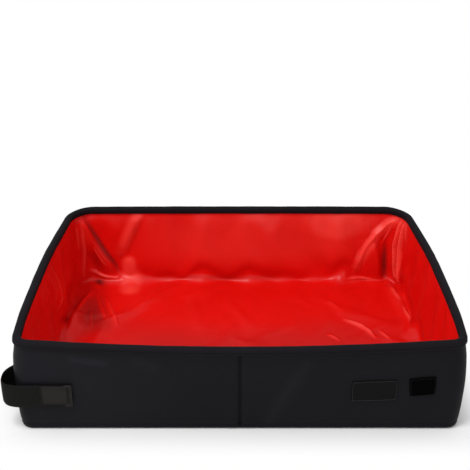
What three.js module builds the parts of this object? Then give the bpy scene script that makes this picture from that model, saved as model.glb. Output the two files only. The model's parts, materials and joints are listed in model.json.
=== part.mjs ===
// Foldable litter box: an open tray of coated cloth over stiffening boards, lined with a loose
// waterproof sheet. Its walls lie down on the floor, and the floor then shuts like a book.
// Millimetres, +Z up, +X to the right along the front, -Y towards the front.
import * as THREE from "three";

// The tray, measured over its outer cloth
const trayLength = 400;
const trayDepth = 290;
const trayHeight = 100;
const frontCornerRadius = 12;
const backCornerRadius = 30;

// Plies of the walls and of the floor
const coverPly = 1.0;
const wallBoardPly = 1.5;
const floorBoardPly = 2.0;
const liningPly = 0.6;
const plyClearance = 0.3;
const boardMargin = 4;

// Bias binding folded over the rim
const bindingPly = 0.8;
const bindingDrop = 9;

// Cloth hinges: where the walls start above their fold lines, and how far the band below reaches
const hingeStandoff = 1.5;
const bandOverreach = 0.9;
const foldClearance = 0.4;
const mitreAllowance = 0.5;
const endMitreInset = 5;
const clothGap = 0.3;

// Heel: the lower edge of the side band draws in to the floor
const heelInset = 3;
const heelHeight = 5;

// Webbing handle round the front left corner
const webbingWidth = 25;
const webbingPly = 1.3;
const handleReach = 52;
const handleBulge = 15;
const handleHeight = 38;
const handleSewnLength = 26;
const handleSwell = 4;
const bowPlaceShare = 0.36;
const bowFullnessShare = 0.6;
const landingShare = 0.8;

// Hook-and-loop pad and bare label on the front right
const padLength = 24;
const padWidth = 21;
const padPly = 1.2;
const padFromEnd = 38;
const padHeight = 48;
const labelLength = 41;
const labelWidth = 24;
const labelPly = 0.8;
const labelFromEnd = 81;
const labelHeight = 44;

// Fineness of the round corners and of the handle's bend
const frontCornerSteps = 6;
const backCornerSteps = 10;
const handleSteps = 36;

// Depths through a wall, counted inwards from its outer face
const boardDepth = coverPly + plyClearance;
const liningDepth = boardDepth + wallBoardPly + plyClearance;
const wallThickness = liningDepth + liningPly;
const bindingProud = plyClearance + bindingPly;

// Levels of the floor's plies
const floorBoardLevel = coverPly + plyClearance;
const floorLiningLevel = floorBoardLevel + floorBoardPly + plyClearance;
const floorTop = floorLiningLevel + liningPly;
const floorInset = heelInset + coverPly + plyClearance;

// Fold lines. The ends lie down first, and the front and the back lie down on them.
const endFoldLevel = floorTop + foldClearance + bindingProud + wallThickness;
const sideFoldLevel = endFoldLevel + bindingProud + foldClearance + bindingProud + wallThickness;
const webbingProud = plyClearance + webbingPly;
const flatHalfHeight = sideFoldLevel + webbingProud;

// The spine is as wide as the two flat halves are thick, less what its own ply gives
const spineTop = coverPly + plyClearance + liningPly;
const spineHalfWidth = flatHalfHeight + foldClearance / 2 - spineTop;

const halfLength = trayLength / 2;
const halfDepth = trayDepth / 2;
const plyTop = trayHeight - bindingPly - plyClearance;
const legLevel = trayHeight - bindingDrop;

const sides = [{ name: "left", sign: -1 }, { name: "right", sign: 1 }];
const facings = [
  { name: "front", sign: -1, radius: frontCornerRadius, steps: frontCornerSteps },
  { name: "back", sign: 1, radius: backCornerRadius, steps: backCornerSteps },
];

const outerCloth = new THREE.MeshStandardMaterial({ color: 0x1d1d20, roughness: 0.62, metalness: 0 });
const redLining = new THREE.MeshStandardMaterial({ color: 0xc8100c, roughness: 0.35, metalness: 0 });
const stiffBoard = new THREE.MeshStandardMaterial({ color: 0x8d8f92, roughness: 0.8, metalness: 0 });
const blackTape = new THREE.MeshStandardMaterial({ color: 0x141416, roughness: 0.75, metalness: 0 });
const hookPile = new THREE.MeshStandardMaterial({ color: 0x0a0a0b, roughness: 0.95, metalness: 0 });

const litterBox = new THREE.Group();

function addNode(name, geometry, material) {
  const mesh = new THREE.Mesh(geometry, material);
  mesh.name = name;
  litterBox.add(mesh);
}

// Turns every triangle outwards, which a mirrored piece needs
function faceOutwards(geometry) {
  const flat = geometry.index ? geometry.toNonIndexed() : geometry;
  const position = flat.getAttribute("position");
  const [a, b, c] = [new THREE.Vector3(), new THREE.Vector3(), new THREE.Vector3()];
  let volume = 0;
  for (let i = 0; i < position.count; i += 3) {
    a.fromBufferAttribute(position, i);
    b.fromBufferAttribute(position, i + 1);
    c.fromBufferAttribute(position, i + 2);
    volume += a.dot(b.cross(c));
  }
  if (volume < 0) {
    for (let i = 0; i < position.count; i += 3) {
      b.fromBufferAttribute(position, i + 1);
      c.fromBufferAttribute(position, i + 2);
      position.setXYZ(i + 1, c.x, c.y, c.z);
      position.setXYZ(i + 2, b.x, b.y, b.z);
    }
  }
  const solid = new THREE.BufferGeometry();
  solid.setAttribute("position", position);
  solid.computeVertexNormals();
  return solid;
}

// A flat piece cut to an outline of (along, up) points and placed between two depths
function cutPanel(outline, outerDepth, innerDepth, place) {
  const shape = new THREE.Shape(outline.map(([along, up]) => new THREE.Vector2(along, up)));
  const depth = innerDepth - outerDepth;
  const panel = new THREE.ExtrudeGeometry(shape, { depth, bevelEnabled: false });
  const position = panel.getAttribute("position");
  for (let i = 0; i < position.count; i += 1) {
    const depthHere = outerDepth + position.getZ(i);
    const spot = place(position.getX(i), depthHere, position.getY(i));
    position.setXYZ(i, spot.x, spot.y, spot.z);
  }
  return faceOutwards(panel);
}

// A closed sheet through a grid of stations: outer face, inner face and the edge between them
function clothSheet(columns, rows, outerAt, innerAt) {
  const vertices = [];
  for (const at of [outerAt, innerAt]) {
    for (let row = 0; row <= rows; row += 1) {
      for (let column = 0; column <= columns; column += 1) {
        const spot = at(column / columns, row / rows);
        vertices.push(spot.x, spot.y, spot.z);
      }
    }
  }
  const faceSize = (rows + 1) * (columns + 1);
  const index = [];
  const addQuad = (p, q, r, s) => index.push(p, q, r, p, r, s);
  const vertex = (face, column, row) => face * faceSize + row * (columns + 1) + column;
  for (let row = 0; row < rows; row += 1) {
    for (let column = 0; column < columns; column += 1) {
      addQuad(vertex(0, column, row), vertex(0, column + 1, row),
        vertex(0, column + 1, row + 1), vertex(0, column, row + 1));
      addQuad(vertex(1, column, row + 1), vertex(1, column + 1, row + 1),
        vertex(1, column + 1, row), vertex(1, column, row));
    }
  }
  for (let column = 0; column < columns; column += 1) {
    addQuad(vertex(1, column, 0), vertex(1, column + 1, 0), vertex(0, column + 1, 0), vertex(0, column, 0));
    addQuad(vertex(0, column, rows), vertex(0, column + 1, rows),
      vertex(1, column + 1, rows), vertex(1, column, rows));
  }
  for (let row = 0; row < rows; row += 1) {
    addQuad(vertex(0, 0, row), vertex(0, 0, row + 1), vertex(1, 0, row + 1), vertex(1, 0, row));
    addQuad(vertex(1, columns, row), vertex(1, columns, row + 1),
      vertex(0, columns, row + 1), vertex(0, columns, row));
  }
  const sheet = new THREE.BufferGeometry();
  sheet.setAttribute("position", new THREE.Float32BufferAttribute(vertices, 3));
  sheet.setIndex(index);
  return faceOutwards(sheet);
}

// A section of (depth, up) points carried through stations along the rim
function sweepSection(section, stations, place) {
  const outline = section.map(([depth, up]) => new THREE.Vector2(depth, up));
  const caps = THREE.ShapeUtils.triangulateShape(outline, []);
  const vertices = [];
  for (const station of stations) {
    for (const [depth, up] of section) {
      const spot = place(station, depth, up);
      vertices.push(spot.x, spot.y, spot.z);
    }
  }
  const count = section.length;
  const last = (stations.length - 1) * count;
  const turn = THREE.ShapeUtils.isClockWise(outline) ? 1 : -1;
  const index = [];
  const addTriangle = (p, q, r) => (turn > 0 ? index.push(p, q, r) : index.push(p, r, q));
  for (let ring = 0; ring < last; ring += count) {
    for (let k = 0; k < count; k += 1) {
      const next = (k + 1) % count;
      addTriangle(ring + k, ring + next, ring + count + next);
      addTriangle(ring + k, ring + count + next, ring + count + k);
    }
  }
  const [p0, p1, p2] = caps[0];
  const capTurn = THREE.ShapeUtils.isClockWise([outline[p0], outline[p1], outline[p2]]) ? 1 : -1;
  for (const [p, q, r] of caps) {
    if (capTurn === turn) {
      addTriangle(p, r, q);
      addTriangle(last + p, last + q, last + r);
    } else {
      addTriangle(p, q, r);
      addTriangle(last + p, last + r, last + q);
    }
  }
  const swept = new THREE.BufferGeometry();
  swept.setAttribute("position", new THREE.Float32BufferAttribute(vertices, 3));
  swept.setIndex(index);
  return faceOutwards(swept);
}

// Places on the tray: a long wall is measured from the crease, an end wall from its middle
const onSideWall = (side, facing) => (along, depth, up) =>
  new THREE.Vector3(side.sign * along, facing.sign * (halfDepth - depth), up);
const onEndWall = (side) => (along, depth, up) =>
  new THREE.Vector3(side.sign * (halfLength - depth), along, up);

// Round a corner, measured from the long wall's end, and on along the end wall
function roundCorner(side, facing) {
  const arc = (facing.radius * Math.PI) / 2;
  return (along, depth, up) => {
    const turned = Math.min(along, arc) / facing.radius;
    const past = Math.max(along - arc, 0);
    const reach = facing.radius - depth;
    const x = halfLength - facing.radius + reach * Math.sin(turned);
    const y = halfDepth - facing.radius + reach * Math.cos(turned) - past;
    return new THREE.Vector3(side.sign * x, facing.sign * y, up);
  };
}

// Edges of the stiff panels, which leave soft cloth where the tray folds
const creaseEdge = (up) => spineHalfWidth + mitreAllowance + Math.max(up - sideFoldLevel, 0);
const endEdge = (facing, up) =>
  Math.min(halfDepth - endMitreInset - (up - endFoldLevel), halfDepth - facing.radius - clothGap);
const mitreStart = (facing) => endFoldLevel + facing.radius + clothGap - endMitreInset;

function sidePanelOutline(facing, low, high, margin) {
  const cornerEnd = halfLength - facing.radius - margin;
  const slant = margin * Math.SQRT2;
  return [
    [creaseEdge(low) + slant, low],
    [cornerEnd, low],
    [cornerEnd, high],
    [creaseEdge(high) + slant, high],
  ];
}

function endPanelOutline(low, high, margin) {
  const outline = [];
  for (const facing of facings) {
    const heights = [low, Math.max(low, mitreStart(facing)), high];
    const edge = heights.map((up) => [facing.sign * (endEdge(facing, up) - margin), up]);
    outline.push(...(facing.sign < 0 ? edge.reverse() : edge));
  }
  return outline.filter(([along, up], i) => {
    const [nextAlong, nextUp] = outline[(i + 1) % outline.length];
    return Math.hypot(nextAlong - along, nextUp - up) > clothGap;
  });
}

const bindingSection = [
  [-bindingProud, legLevel],
  [-plyClearance, legLevel],
  [-plyClearance, trayHeight - bindingPly],
  [wallThickness + plyClearance, trayHeight - bindingPly],
  [wallThickness + plyClearance, legLevel],
  [wallThickness + bindingProud, legLevel],
  [wallThickness + bindingProud, trayHeight],
  [-bindingProud, trayHeight],
];

// Stations round half of the tray, from the crease at the front to the crease at the back
function halfPerimeter(side) {
  const [front, back] = facings;
  const stations = [];
  const start = spineHalfWidth + clothGap;
  const addArc = (facing, fromEndWall) => {
    const corner = roundCorner(side, facing);
    const arc = (facing.radius * Math.PI) / 2;
    for (let step = 0; step <= facing.steps; step += 1) {
      const share = step / facing.steps;
      const along = arc * (fromEndWall ? 1 - share : share);
      const endShare = along / arc;
      const bandTop = THREE.MathUtils.lerp(sideFoldLevel, endFoldLevel, endShare) + bandOverreach;
      stations.push({ at: (depth, up) => corner(along, depth, up), bandTop });
    }
  };
  const addCrease = (facing) => {
    const wall = onSideWall(side, facing);
    stations.push({ at: (depth, up) => wall(start, depth, up), bandTop: sideFoldLevel + bandOverreach });
  };
  addCrease(front);
  addArc(front, false);
  addArc(back, true);
  addCrease(back);
  return stations;
}

// How far the lower edge of the band draws in at a height
const heelDepth = (up) => heelInset * Math.max(1 - up / heelHeight, 0);

function addFloor(side) {
  const stations = halfPerimeter(side);
  const last = stations.length - 1;
  const heights = (station) => [0, heelHeight / 2, heelHeight, station.bandTop];
  const bandRows = 3;
  const bandAt = (ply) => (alongShare, upShare) => {
    const station = stations[Math.round(alongShare * last)];
    const up = heights(station)[Math.round(upShare * bandRows)];
    return station.at(heelDepth(up) + ply, up);
  };
  addNode(`side_band_${side.name}`, clothSheet(last, bandRows, bandAt(0), bandAt(coverPly)), outerCloth);

  const outline = stations.map((station) => {
    const spot = station.at(floorInset, 0);
    return [spot.x, spot.y];
  });
  const place = (x, level, y) => new THREE.Vector3(x, y, level);
  const addPly = (name, low, ply, material) =>
    addNode(`${name}_${side.name}`, cutPanel(outline, low, low + ply, place), material);
  addPly("bottom_cover", 0, coverPly, outerCloth);
  addPly("floor_board", floorBoardLevel, floorBoardPly, stiffBoard);
  addPly("floor_lining", floorLiningLevel, liningPly, redLining);
}

// The spine: cloth and lining alone between the two floor boards
function addSpine() {
  const edge = spineHalfWidth - clothGap;
  const reach = halfDepth - floorInset;
  const outline = [[-edge, -reach], [edge, -reach], [edge, reach], [-edge, reach]];
  const place = (x, level, y) => new THREE.Vector3(x, y, level);
  addNode("spine_cover", cutPanel(outline, 0, coverPly, place), outerCloth);
  const liningLevel = spineTop - liningPly;
  addNode("spine_lining", cutPanel(outline, liningLevel, spineTop, place), redLining);
}

function addSideWall(side, facing) {
  const label = `${facing.name}_${side.name}`;
  const place = onSideWall(side, facing);
  const low = sideFoldLevel + hingeStandoff;
  const whole = sidePanelOutline(facing, low, plyTop, 0);
  const inset = sidePanelOutline(facing, low + boardMargin, plyTop - boardMargin, boardMargin);
  addNode(`${label}_cover`, cutPanel(whole, 0, coverPly, place), outerCloth);
  addNode(`${label}_board`, cutPanel(inset, boardDepth, boardDepth + wallBoardPly, place), stiffBoard);
  addNode(`${label}_lining`, cutPanel(whole, liningDepth, wallThickness, place), redLining);

  const bindingEnds = [creaseEdge(trayHeight), halfLength - facing.radius];
  addNode(`${label}_binding`, sweepSection(bindingSection, bindingEnds, place), blackTape);

  // Soft half of the crease gusset, from the crease to the panel's slanted edge
  const overBand = sideFoldLevel + bandOverreach + clothGap;
  const gussetHeights = [clothGap, heelHeight / 2, heelHeight, overBand, low, plyTop];
  const gussetRows = gussetHeights.length - 1;
  const edgeAt = (up) => (up > overBand ? creaseEdge(up) - mitreAllowance - clothGap : spineHalfWidth);
  const depthAt = (up) => (up < heelHeight ? coverPly : wallThickness);
  const gussetAt = (fullDepth) => (alongShare, upShare) => {
    const up = gussetHeights[Math.round(upShare * gussetRows)];
    const depth = heelDepth(up) + Math.min(fullDepth, depthAt(up));
    return place(THREE.MathUtils.lerp(clothGap, edgeAt(up), alongShare), depth, up);
  };
  const gusset = clothSheet(1, gussetRows, gussetAt(0), gussetAt(wallThickness));
  addNode(`${label}_crease_gusset`, gusset, outerCloth);
  const softBinding = [clothGap, creaseEdge(trayHeight) - clothGap];
  addNode(`${label}_crease_binding`, sweepSection(bindingSection, softBinding, place), blackTape);
}

function addEndWall(side) {
  const label = `end_${side.name}`;
  const place = onEndWall(side);
  const low = endFoldLevel + hingeStandoff;
  const whole = endPanelOutline(low, plyTop, 0);
  const inset = endPanelOutline(low + boardMargin, plyTop - boardMargin, boardMargin);
  addNode(`${label}_cover`, cutPanel(whole, 0, coverPly, place), outerCloth);
  addNode(`${label}_board`, cutPanel(inset, boardDepth, boardDepth + wallBoardPly, place), stiffBoard);
  addNode(`${label}_lining`, cutPanel(whole, liningDepth, wallThickness, place), redLining);
  const bindingEnds = facings.map((facing) => facing.sign * endEdge(facing, trayHeight));
  addNode(`${label}_binding`, sweepSection(bindingSection, bindingEnds, place), blackTape);
}

// Soft corner: it turns from the long wall into the end wall and runs to the end panel's mitre
function addCorner(side, facing) {
  const label = `corner_${facing.name}_${side.name}`;
  const place = roundCorner(side, facing);
  const arc = (facing.radius * Math.PI) / 2;
  const alongEnd = (edge) => arc + halfDepth - facing.radius - edge;
  const endLow = endFoldLevel + hingeStandoff;
  const sideLow = sideFoldLevel + hingeStandoff;
  const edgeHeights = [endLow, Math.max(mitreStart(facing), endLow + clothGap), plyTop];
  const gussetRows = edgeHeights.length - 1;
  const cornerAt = (depth) => (alongShare, rowShare) => {
    const edgeUp = edgeHeights[Math.round(rowShare * gussetRows)];
    const upShare = (edgeUp - endLow) / (plyTop - endLow);
    const step = Math.round(alongShare * (facing.steps + 1));
    const along = step <= facing.steps
      ? THREE.MathUtils.lerp(clothGap, arc, step / facing.steps)
      : alongEnd(endEdge(facing, edgeUp) + clothGap);
    const low = THREE.MathUtils.lerp(sideLow, endLow, Math.min(along / arc, 1));
    return place(along, depth, THREE.MathUtils.lerp(low, plyTop, upShare));
  };
  const sheet = clothSheet(facing.steps + 1, gussetRows, cornerAt(0), cornerAt(wallThickness));
  addNode(`${label}_gusset`, sheet, outerCloth);

  const stations = [];
  for (let step = 0; step <= facing.steps; step += 1) {
    stations.push(THREE.MathUtils.lerp(clothGap, arc, step / facing.steps));
  }
  stations.push(alongEnd(endEdge(facing, trayHeight) + clothGap));
  addNode(`${label}_binding`, sweepSection(bindingSection, stations, place), blackTape);
}

// Webbing handle: sewn to the front, bowed out round the corner, and back to the end wall
function addHandle() {
  const offset = plyClearance + webbingPly / 2;
  const frontLine = -halfDepth - offset;
  const endLine = -halfLength - offset;
  const bowLine = new THREE.CurvePath();
  const spot = (x, y) => new THREE.Vector3(x, y, 0);
  const nearEnd = spot(handleReach - halfLength, frontLine);
  const leaving = spot(handleReach - handleSewnLength - halfLength, frontLine);
  const fullBow = spot(endLine - handleBulge, frontLine + handleReach * bowPlaceShare);
  const landing = spot(endLine, frontLine + handleReach * landingShare);
  const farEnd = spot(endLine, frontLine + handleReach);
  bowLine.add(new THREE.LineCurve3(nearEnd, leaving));
  bowLine.add(new THREE.CubicBezierCurve3(
    leaving,
    spot(endLine - handleBulge * bowFullnessShare, frontLine - handleSwell),
    spot(fullBow.x, frontLine),
    fullBow,
  ));
  bowLine.add(new THREE.CubicBezierCurve3(
    fullBow,
    spot(fullBow.x, frontLine + handleReach * bowFullnessShare),
    spot(endLine, frontLine + handleReach * bowFullnessShare),
    landing,
  ));
  bowLine.add(new THREE.LineCurve3(landing, farEnd));
  const outerEdge = [];
  const innerEdge = [];
  for (let step = 0; step <= handleSteps; step += 1) {
    const middle = bowLine.getPointAt(step / handleSteps);
    const heading = bowLine.getTangentAt(step / handleSteps);
    const across = new THREE.Vector2(-heading.y, heading.x).multiplyScalar(webbingPly / 2);
    outerEdge.push([middle.x + across.x, middle.y + across.y]);
    innerEdge.push([middle.x - across.x, middle.y - across.y]);
  }
  const low = handleHeight - webbingWidth / 2;
  const place = (x, level, y) => new THREE.Vector3(x, y, level);
  const outline = outerEdge.concat(innerEdge.reverse());
  addNode("webbing_handle", cutPanel(outline, low, low + webbingWidth, place), blackTape);
}

// Hook-and-loop pad and bare label, both sewn flat to the front right cover
function addFrontPatch(name, fromEnd, height, length, width, ply, material) {
  const place = onSideWall(sides[1], facings[0]);
  const middle = halfLength - fromEnd;
  const outline = [
    [middle - length / 2, height - width / 2],
    [middle + length / 2, height - width / 2],
    [middle + length / 2, height + width / 2],
    [middle - length / 2, height + width / 2],
  ];
  addNode(name, cutPanel(outline, -plyClearance - ply, -plyClearance, place), material);
}

for (const side of sides) {
  addFloor(side);
  addEndWall(side);
  for (const facing of facings) {
    addSideWall(side, facing);
    addCorner(side, facing);
  }
}
addSpine();
addHandle();
addFrontPatch("hook_loop_pad", padFromEnd, padHeight, padLength, padWidth, padPly, hookPile);
addFrontPatch("bare_label", labelFromEnd, labelHeight, labelLength, labelWidth, labelPly, blackTape);

export default litterBox;
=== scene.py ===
"""Foldable litter box: a black cloth tray with a loose, glossy red lining.

Run as a script, this add-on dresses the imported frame: outer cover, lining, bound rim, handle,
patches, stitches and boards, each cut into pieces that ride on the bodies that fold.
Metres throughout, +Z up, the front towards -Y.
"""

import json
import math

import bmesh
import bpy
import numpy as np
from bpy.props import FloatProperty, FloatVectorProperty, IntProperty, PointerProperty
from bpy.types import Operator, Panel, PropertyGroup
from mathutils import Matrix, Vector, noise


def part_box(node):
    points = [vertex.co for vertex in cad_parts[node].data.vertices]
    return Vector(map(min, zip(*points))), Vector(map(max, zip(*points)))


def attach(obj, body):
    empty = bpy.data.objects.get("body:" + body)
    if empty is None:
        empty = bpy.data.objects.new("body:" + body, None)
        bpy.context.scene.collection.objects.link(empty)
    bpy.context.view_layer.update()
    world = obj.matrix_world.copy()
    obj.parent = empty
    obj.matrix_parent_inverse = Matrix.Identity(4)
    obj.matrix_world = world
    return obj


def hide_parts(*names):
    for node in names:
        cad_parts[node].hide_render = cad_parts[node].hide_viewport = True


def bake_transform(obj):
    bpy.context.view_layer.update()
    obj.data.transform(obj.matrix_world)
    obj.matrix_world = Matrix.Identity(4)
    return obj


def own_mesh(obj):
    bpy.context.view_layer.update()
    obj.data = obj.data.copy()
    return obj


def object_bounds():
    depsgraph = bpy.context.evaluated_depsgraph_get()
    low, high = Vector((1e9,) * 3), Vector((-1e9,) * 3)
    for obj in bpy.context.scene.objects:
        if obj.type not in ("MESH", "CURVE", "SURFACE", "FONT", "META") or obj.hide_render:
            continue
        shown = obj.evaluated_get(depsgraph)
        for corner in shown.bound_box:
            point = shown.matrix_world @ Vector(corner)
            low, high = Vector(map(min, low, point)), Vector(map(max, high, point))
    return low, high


bl_info = {
    "name": "Foldable litter box",
    "version": (1, 0, 0),
    "blender": (4, 5, 0),
    "location": "View3D > Sidebar > Litter box",
    "description": "Dresses the folding frame as a soft cloth tray with a loose lining",
    "category": "Object",
}

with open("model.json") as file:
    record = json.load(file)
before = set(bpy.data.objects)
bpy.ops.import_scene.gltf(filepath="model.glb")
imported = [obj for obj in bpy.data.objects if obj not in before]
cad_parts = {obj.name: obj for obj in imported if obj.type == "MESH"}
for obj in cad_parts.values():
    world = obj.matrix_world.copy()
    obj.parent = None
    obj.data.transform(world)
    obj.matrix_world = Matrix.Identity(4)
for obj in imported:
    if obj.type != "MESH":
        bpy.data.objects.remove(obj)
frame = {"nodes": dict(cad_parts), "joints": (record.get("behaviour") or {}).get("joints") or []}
CAD_LOW, CAD_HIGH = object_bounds()

# Sizes of the tray that the frame holds
JOINTS = {joint["name"]: joint for joint in frame["joints"]}
HALF_LENGTH = JOINTS["end_right_fold"]["pos_m"][0]
HALF_DEPTH = JOINTS["back_left_fold"]["pos_m"][1]
RIM_TOP = CAD_HIGH.z
SIDE_FOLD = JOINTS["front_left_fold"]["pos_m"][2]
END_FOLD = JOINTS["end_left_fold"]["pos_m"][2]
SPINE_HALF = JOINTS["right_half_fold"]["pos_m"][0]
FLOOR_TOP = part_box("floor_lining_left")[1].z
WALL_THICKNESS = HALF_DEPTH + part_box("front_left_lining")[1].y
BINDING_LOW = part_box("front_left_binding")[0].z
FRONT_RADIUS = HALF_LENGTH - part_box("front_right_cover")[1].x
BACK_RADIUS = HALF_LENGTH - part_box("back_right_cover")[1].x

FACINGS = ("front", "back")
SIDES = ("left", "right")


# Steps of the cloth along the front and along an end: cover and tape, lining, and what the lining settles in
COVER_STEPS = (150, 108)
LINING_STEPS = (98, 71)
FORM_STEPS = (60, 44)

# How far in from the front and the back the floor's cloth ends in a heel, which follows the spine
COVER_HEEL = 0.008
LINING_HEEL = 0.017


def length_setting(name, text, default):
    """A length that can be set in the panel."""
    return FloatProperty(name=name, description=text, default=default, unit="LENGTH")


def colour_setting(name, text, default):
    """A colour that can be set in the panel."""
    return FloatVectorProperty(name=name, description=text, default=default, subtype="COLOR")


class TraySizes(PropertyGroup):
    """Sizes that the soft pieces add to the frame"""

    cover_ply: length_setting("Cover", "Thickness of the coated cloth", 0.0010)
    lining_ply: length_setting("Lining", "Thickness of the waterproof lining", 0.0004)
    binding_ply: length_setting("Binding", "Thickness of the tape on the rim", 0.0009)
    end_bow: length_setting("End bow", "How far the end walls lean out at the rim", 0.0038)
    front_swell: length_setting("Front swell", "How far the end walls swell near the front", 0.0060)
    back_tuck: length_setting("Back tuck", "How far the end walls draw in near the back", 0.0050)
    front_bow: length_setting("Front bow", "How far the front leans out at the rim", 0.0090)
    back_bow: length_setting("Back bow", "How far the back leans out at the rim", 0.0015)
    rim_dip: length_setting("Rim dip", "How far the front rim sags in its middle", 0.0030)
    front_drop: length_setting("Front drop", "How far the whole front rim has sunk", 0.0044)
    slack: FloatProperty(
        name="Slack", description="Spare length of the lining, as a share", default=0.03, min=0.0, max=0.2
    )
    settling_steps: IntProperty(
        name="Settling steps", description="Steps in which the lining settles", default=40, min=1
    )


class TrayColours(PropertyGroup):
    """Colours of the tray's materials"""

    cover: colour_setting("Cover", "Coated cloth outside", (0.0068, 0.0063, 0.0080))
    lining: colour_setting("Lining", "Waterproof cloth inside", (0.68, 0.0035, 0.0020))
    tape: colour_setting("Tape", "Binding tape on the rim", (0.0088, 0.0078, 0.0100))
    webbing: colour_setting("Webbing", "Woven handle", (0.0070, 0.0066, 0.0062))
    board: colour_setting("Board", "Stiffening boards", (0.27, 0.28, 0.29))
    ground: colour_setting("Ground", "Floor and backdrop", (0.86, 0.86, 0.86))


# Shapes: plan, walls and floor of the tray


def smooth(share):
    """A share held between 0 and 1, with its start and its end eased."""
    share = np.clip(share, 0, 1)
    return share * share * (3 - 2 * share)


def turn(angle):
    """Unit directions in plan, for an array of angles in radians."""
    return np.stack([np.cos(angle), np.sin(angle)], axis=-1)


def ring(depth, across, along, least_radius=0.0):
    """Places and outward directions round the tray, that far inside its outer face.

    It starts in the middle of the front left corner and has `across` steps on the front and on the
    back and `along` steps on each end, so that two rings of different depth match one to one.
    """
    x, y = HALF_LENGTH - depth, HALF_DEPTH - depth
    front = max(FRONT_RADIUS - depth, least_radius)
    back = max(BACK_RADIUS - depth, least_radius)
    radii = [front, front, back, back]
    signs = [(-1, -1), (1, -1), (1, 1), (-1, 1)]
    centres = [
        np.array([sx * (x - radius), sy * (y - radius)]) for (sx, sy), radius in zip(signs, radii)
    ]
    places, outward = [], []
    for side in range(4):
        steps = along if side % 2 else across
        here, there = radii[side], radii[(side + 1) % 4]
        centre, next_centre = centres[side], centres[(side + 1) % 4]
        straight = math.radians(270 + 90 * side)
        start = centre + here * turn(np.array(straight))
        end = next_centre + there * turn(np.array(straight))
        first, last = here * math.pi / 4, there * math.pi / 4
        line = np.linalg.norm(end - start)
        gone = np.linspace(0, first + line + last, steps + 1)[:-1]
        angle = np.full(steps, straight)
        place = start + np.outer((gone - first) / line, end - start)
        in_first, in_last = gone < first, gone > first + line
        angle[in_first] -= (first - gone[in_first]) / max(here, 1e-9)
        angle[in_last] += (gone[in_last] - first - line) / max(there, 1e-9)
        place[in_first] = centre + here * turn(angle[in_first])
        place[in_last] = next_centre + there * turn(angle[in_last])
        places.append(place)
        outward.append(turn(angle))
    return np.concatenate(places), np.concatenate(outward)


def corner_share(across, along, reach):
    """1 in the middle of a corner, falling to 0 `reach` away from it along the rim."""
    places, _ = ring(0, across, along)
    count = len(places)
    middles = [0, across, across + along, 2 * across + along]
    step = np.linalg.norm(np.roll(places, -1, axis=0) - places, axis=1)
    gone = np.concatenate([[0], np.cumsum(step)])
    whole, gone = gone[-1], gone[:-1]
    nearest = np.full(count, whole)
    for middle in middles:
        away = np.abs(gone - gone[middle])
        nearest = np.minimum(nearest, np.minimum(away, whole - away))
    return smooth(1 - nearest / reach)


def quilt(boundary, across, along):
    """A grid of places that fills a closed ring, by blending its four sides."""
    front = boundary[: across + 1]
    right = boundary[across : across + along + 1]
    back = boundary[across + along : 2 * across + along + 1][::-1]
    left = np.concatenate([boundary[2 * across + along :], boundary[:1]])[::-1]
    u = np.linspace(0, 1, across + 1)[None, :, None]
    v = np.linspace(0, 1, along + 1)[:, None, None]
    ruled = (1 - v) * front[None] + v * back[None] + (1 - u) * left[:, None] + u * right[:, None]
    corners = (
        (1 - u) * (1 - v) * front[0]
        + u * (1 - v) * front[-1]
        + (1 - u) * v * back[0]
        + u * v * back[-1]
    )
    return ruled - corners


def tray_shell(rows, across, along, inward, closed=True):
    """A mesh of a wall's rows, from the rim down, closed by a floor inside the last row if asked.

    Each row is a (ring places, heights) pair. Faces look inward or outward as asked.
    """
    count = 2 * (across + along)
    shell = bmesh.new()
    uv = shell.loops.layers.uv.new("UVMap")
    levels = []
    for places, heights in rows:
        levels.append([shell.verts.new((x, y, z)) for (x, y), z in zip(places, heights)])
    edge = np.column_stack([rows[-1][0], rows[-1][1]])
    inside = quilt(edge, across, along)
    floor = [[None] * (across + 1) for _ in range(along + 1)]
    for k in range(count):
        if k < across:
            spot = (0, k)
        elif k < across + along:
            spot = (k - across, across)
        elif k < 2 * across + along:
            spot = (along, 2 * across + along - k)
        else:
            spot = (count - k, 0)
        floor[spot[0]][spot[1]] = levels[-1][k]
    if closed:
        for j in range(1, along):
            for i in range(1, across):
                floor[j][i] = shell.verts.new(inside[j, i])
    outer_places, _ = ring(0, across, along)
    step = np.linalg.norm(np.roll(outer_places, -1, axis=0) - outer_places, axis=1)
    gone = np.concatenate([[0], np.cumsum(step)])

    def add_face(corners, marks):
        """A smooth face with its places on the flat cloth."""
        if not inward:
            corners, marks = corners[::-1], marks[::-1]
        face = shell.faces.new(corners)
        face.smooth = True
        for loop, mark in zip(face.loops, marks):
            loop[uv].uv = mark

    for j in range(len(levels) - 1):
        upper, lower = levels[j], levels[j + 1]
        for k in range(count):
            m = (k + 1) % count
            corners = [upper[k], upper[m], lower[m], lower[k]]
            high, low = rows[j][1][k], rows[j + 1][1][k]
            add_face(corners, [(gone[k], high), (gone[k + 1], high), (gone[k + 1], low), (gone[k], low)])
    for j in range(along if closed else 0):
        for i in range(across):
            corners = [floor[j][i], floor[j + 1][i], floor[j + 1][i + 1], floor[j][i + 1]]
            corners.reverse()
            add_face(corners, [(v.co.x, v.co.y) for v in corners])
    return shell


def edge_weight(distance_in, width):
    """1 on the outer face of a wall and 0 from `width` inside it."""
    return smooth(1 - distance_in / width)


# How far into the tray the lean of a wall's outer face fades away
LEAN_REACH = 0.045


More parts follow.
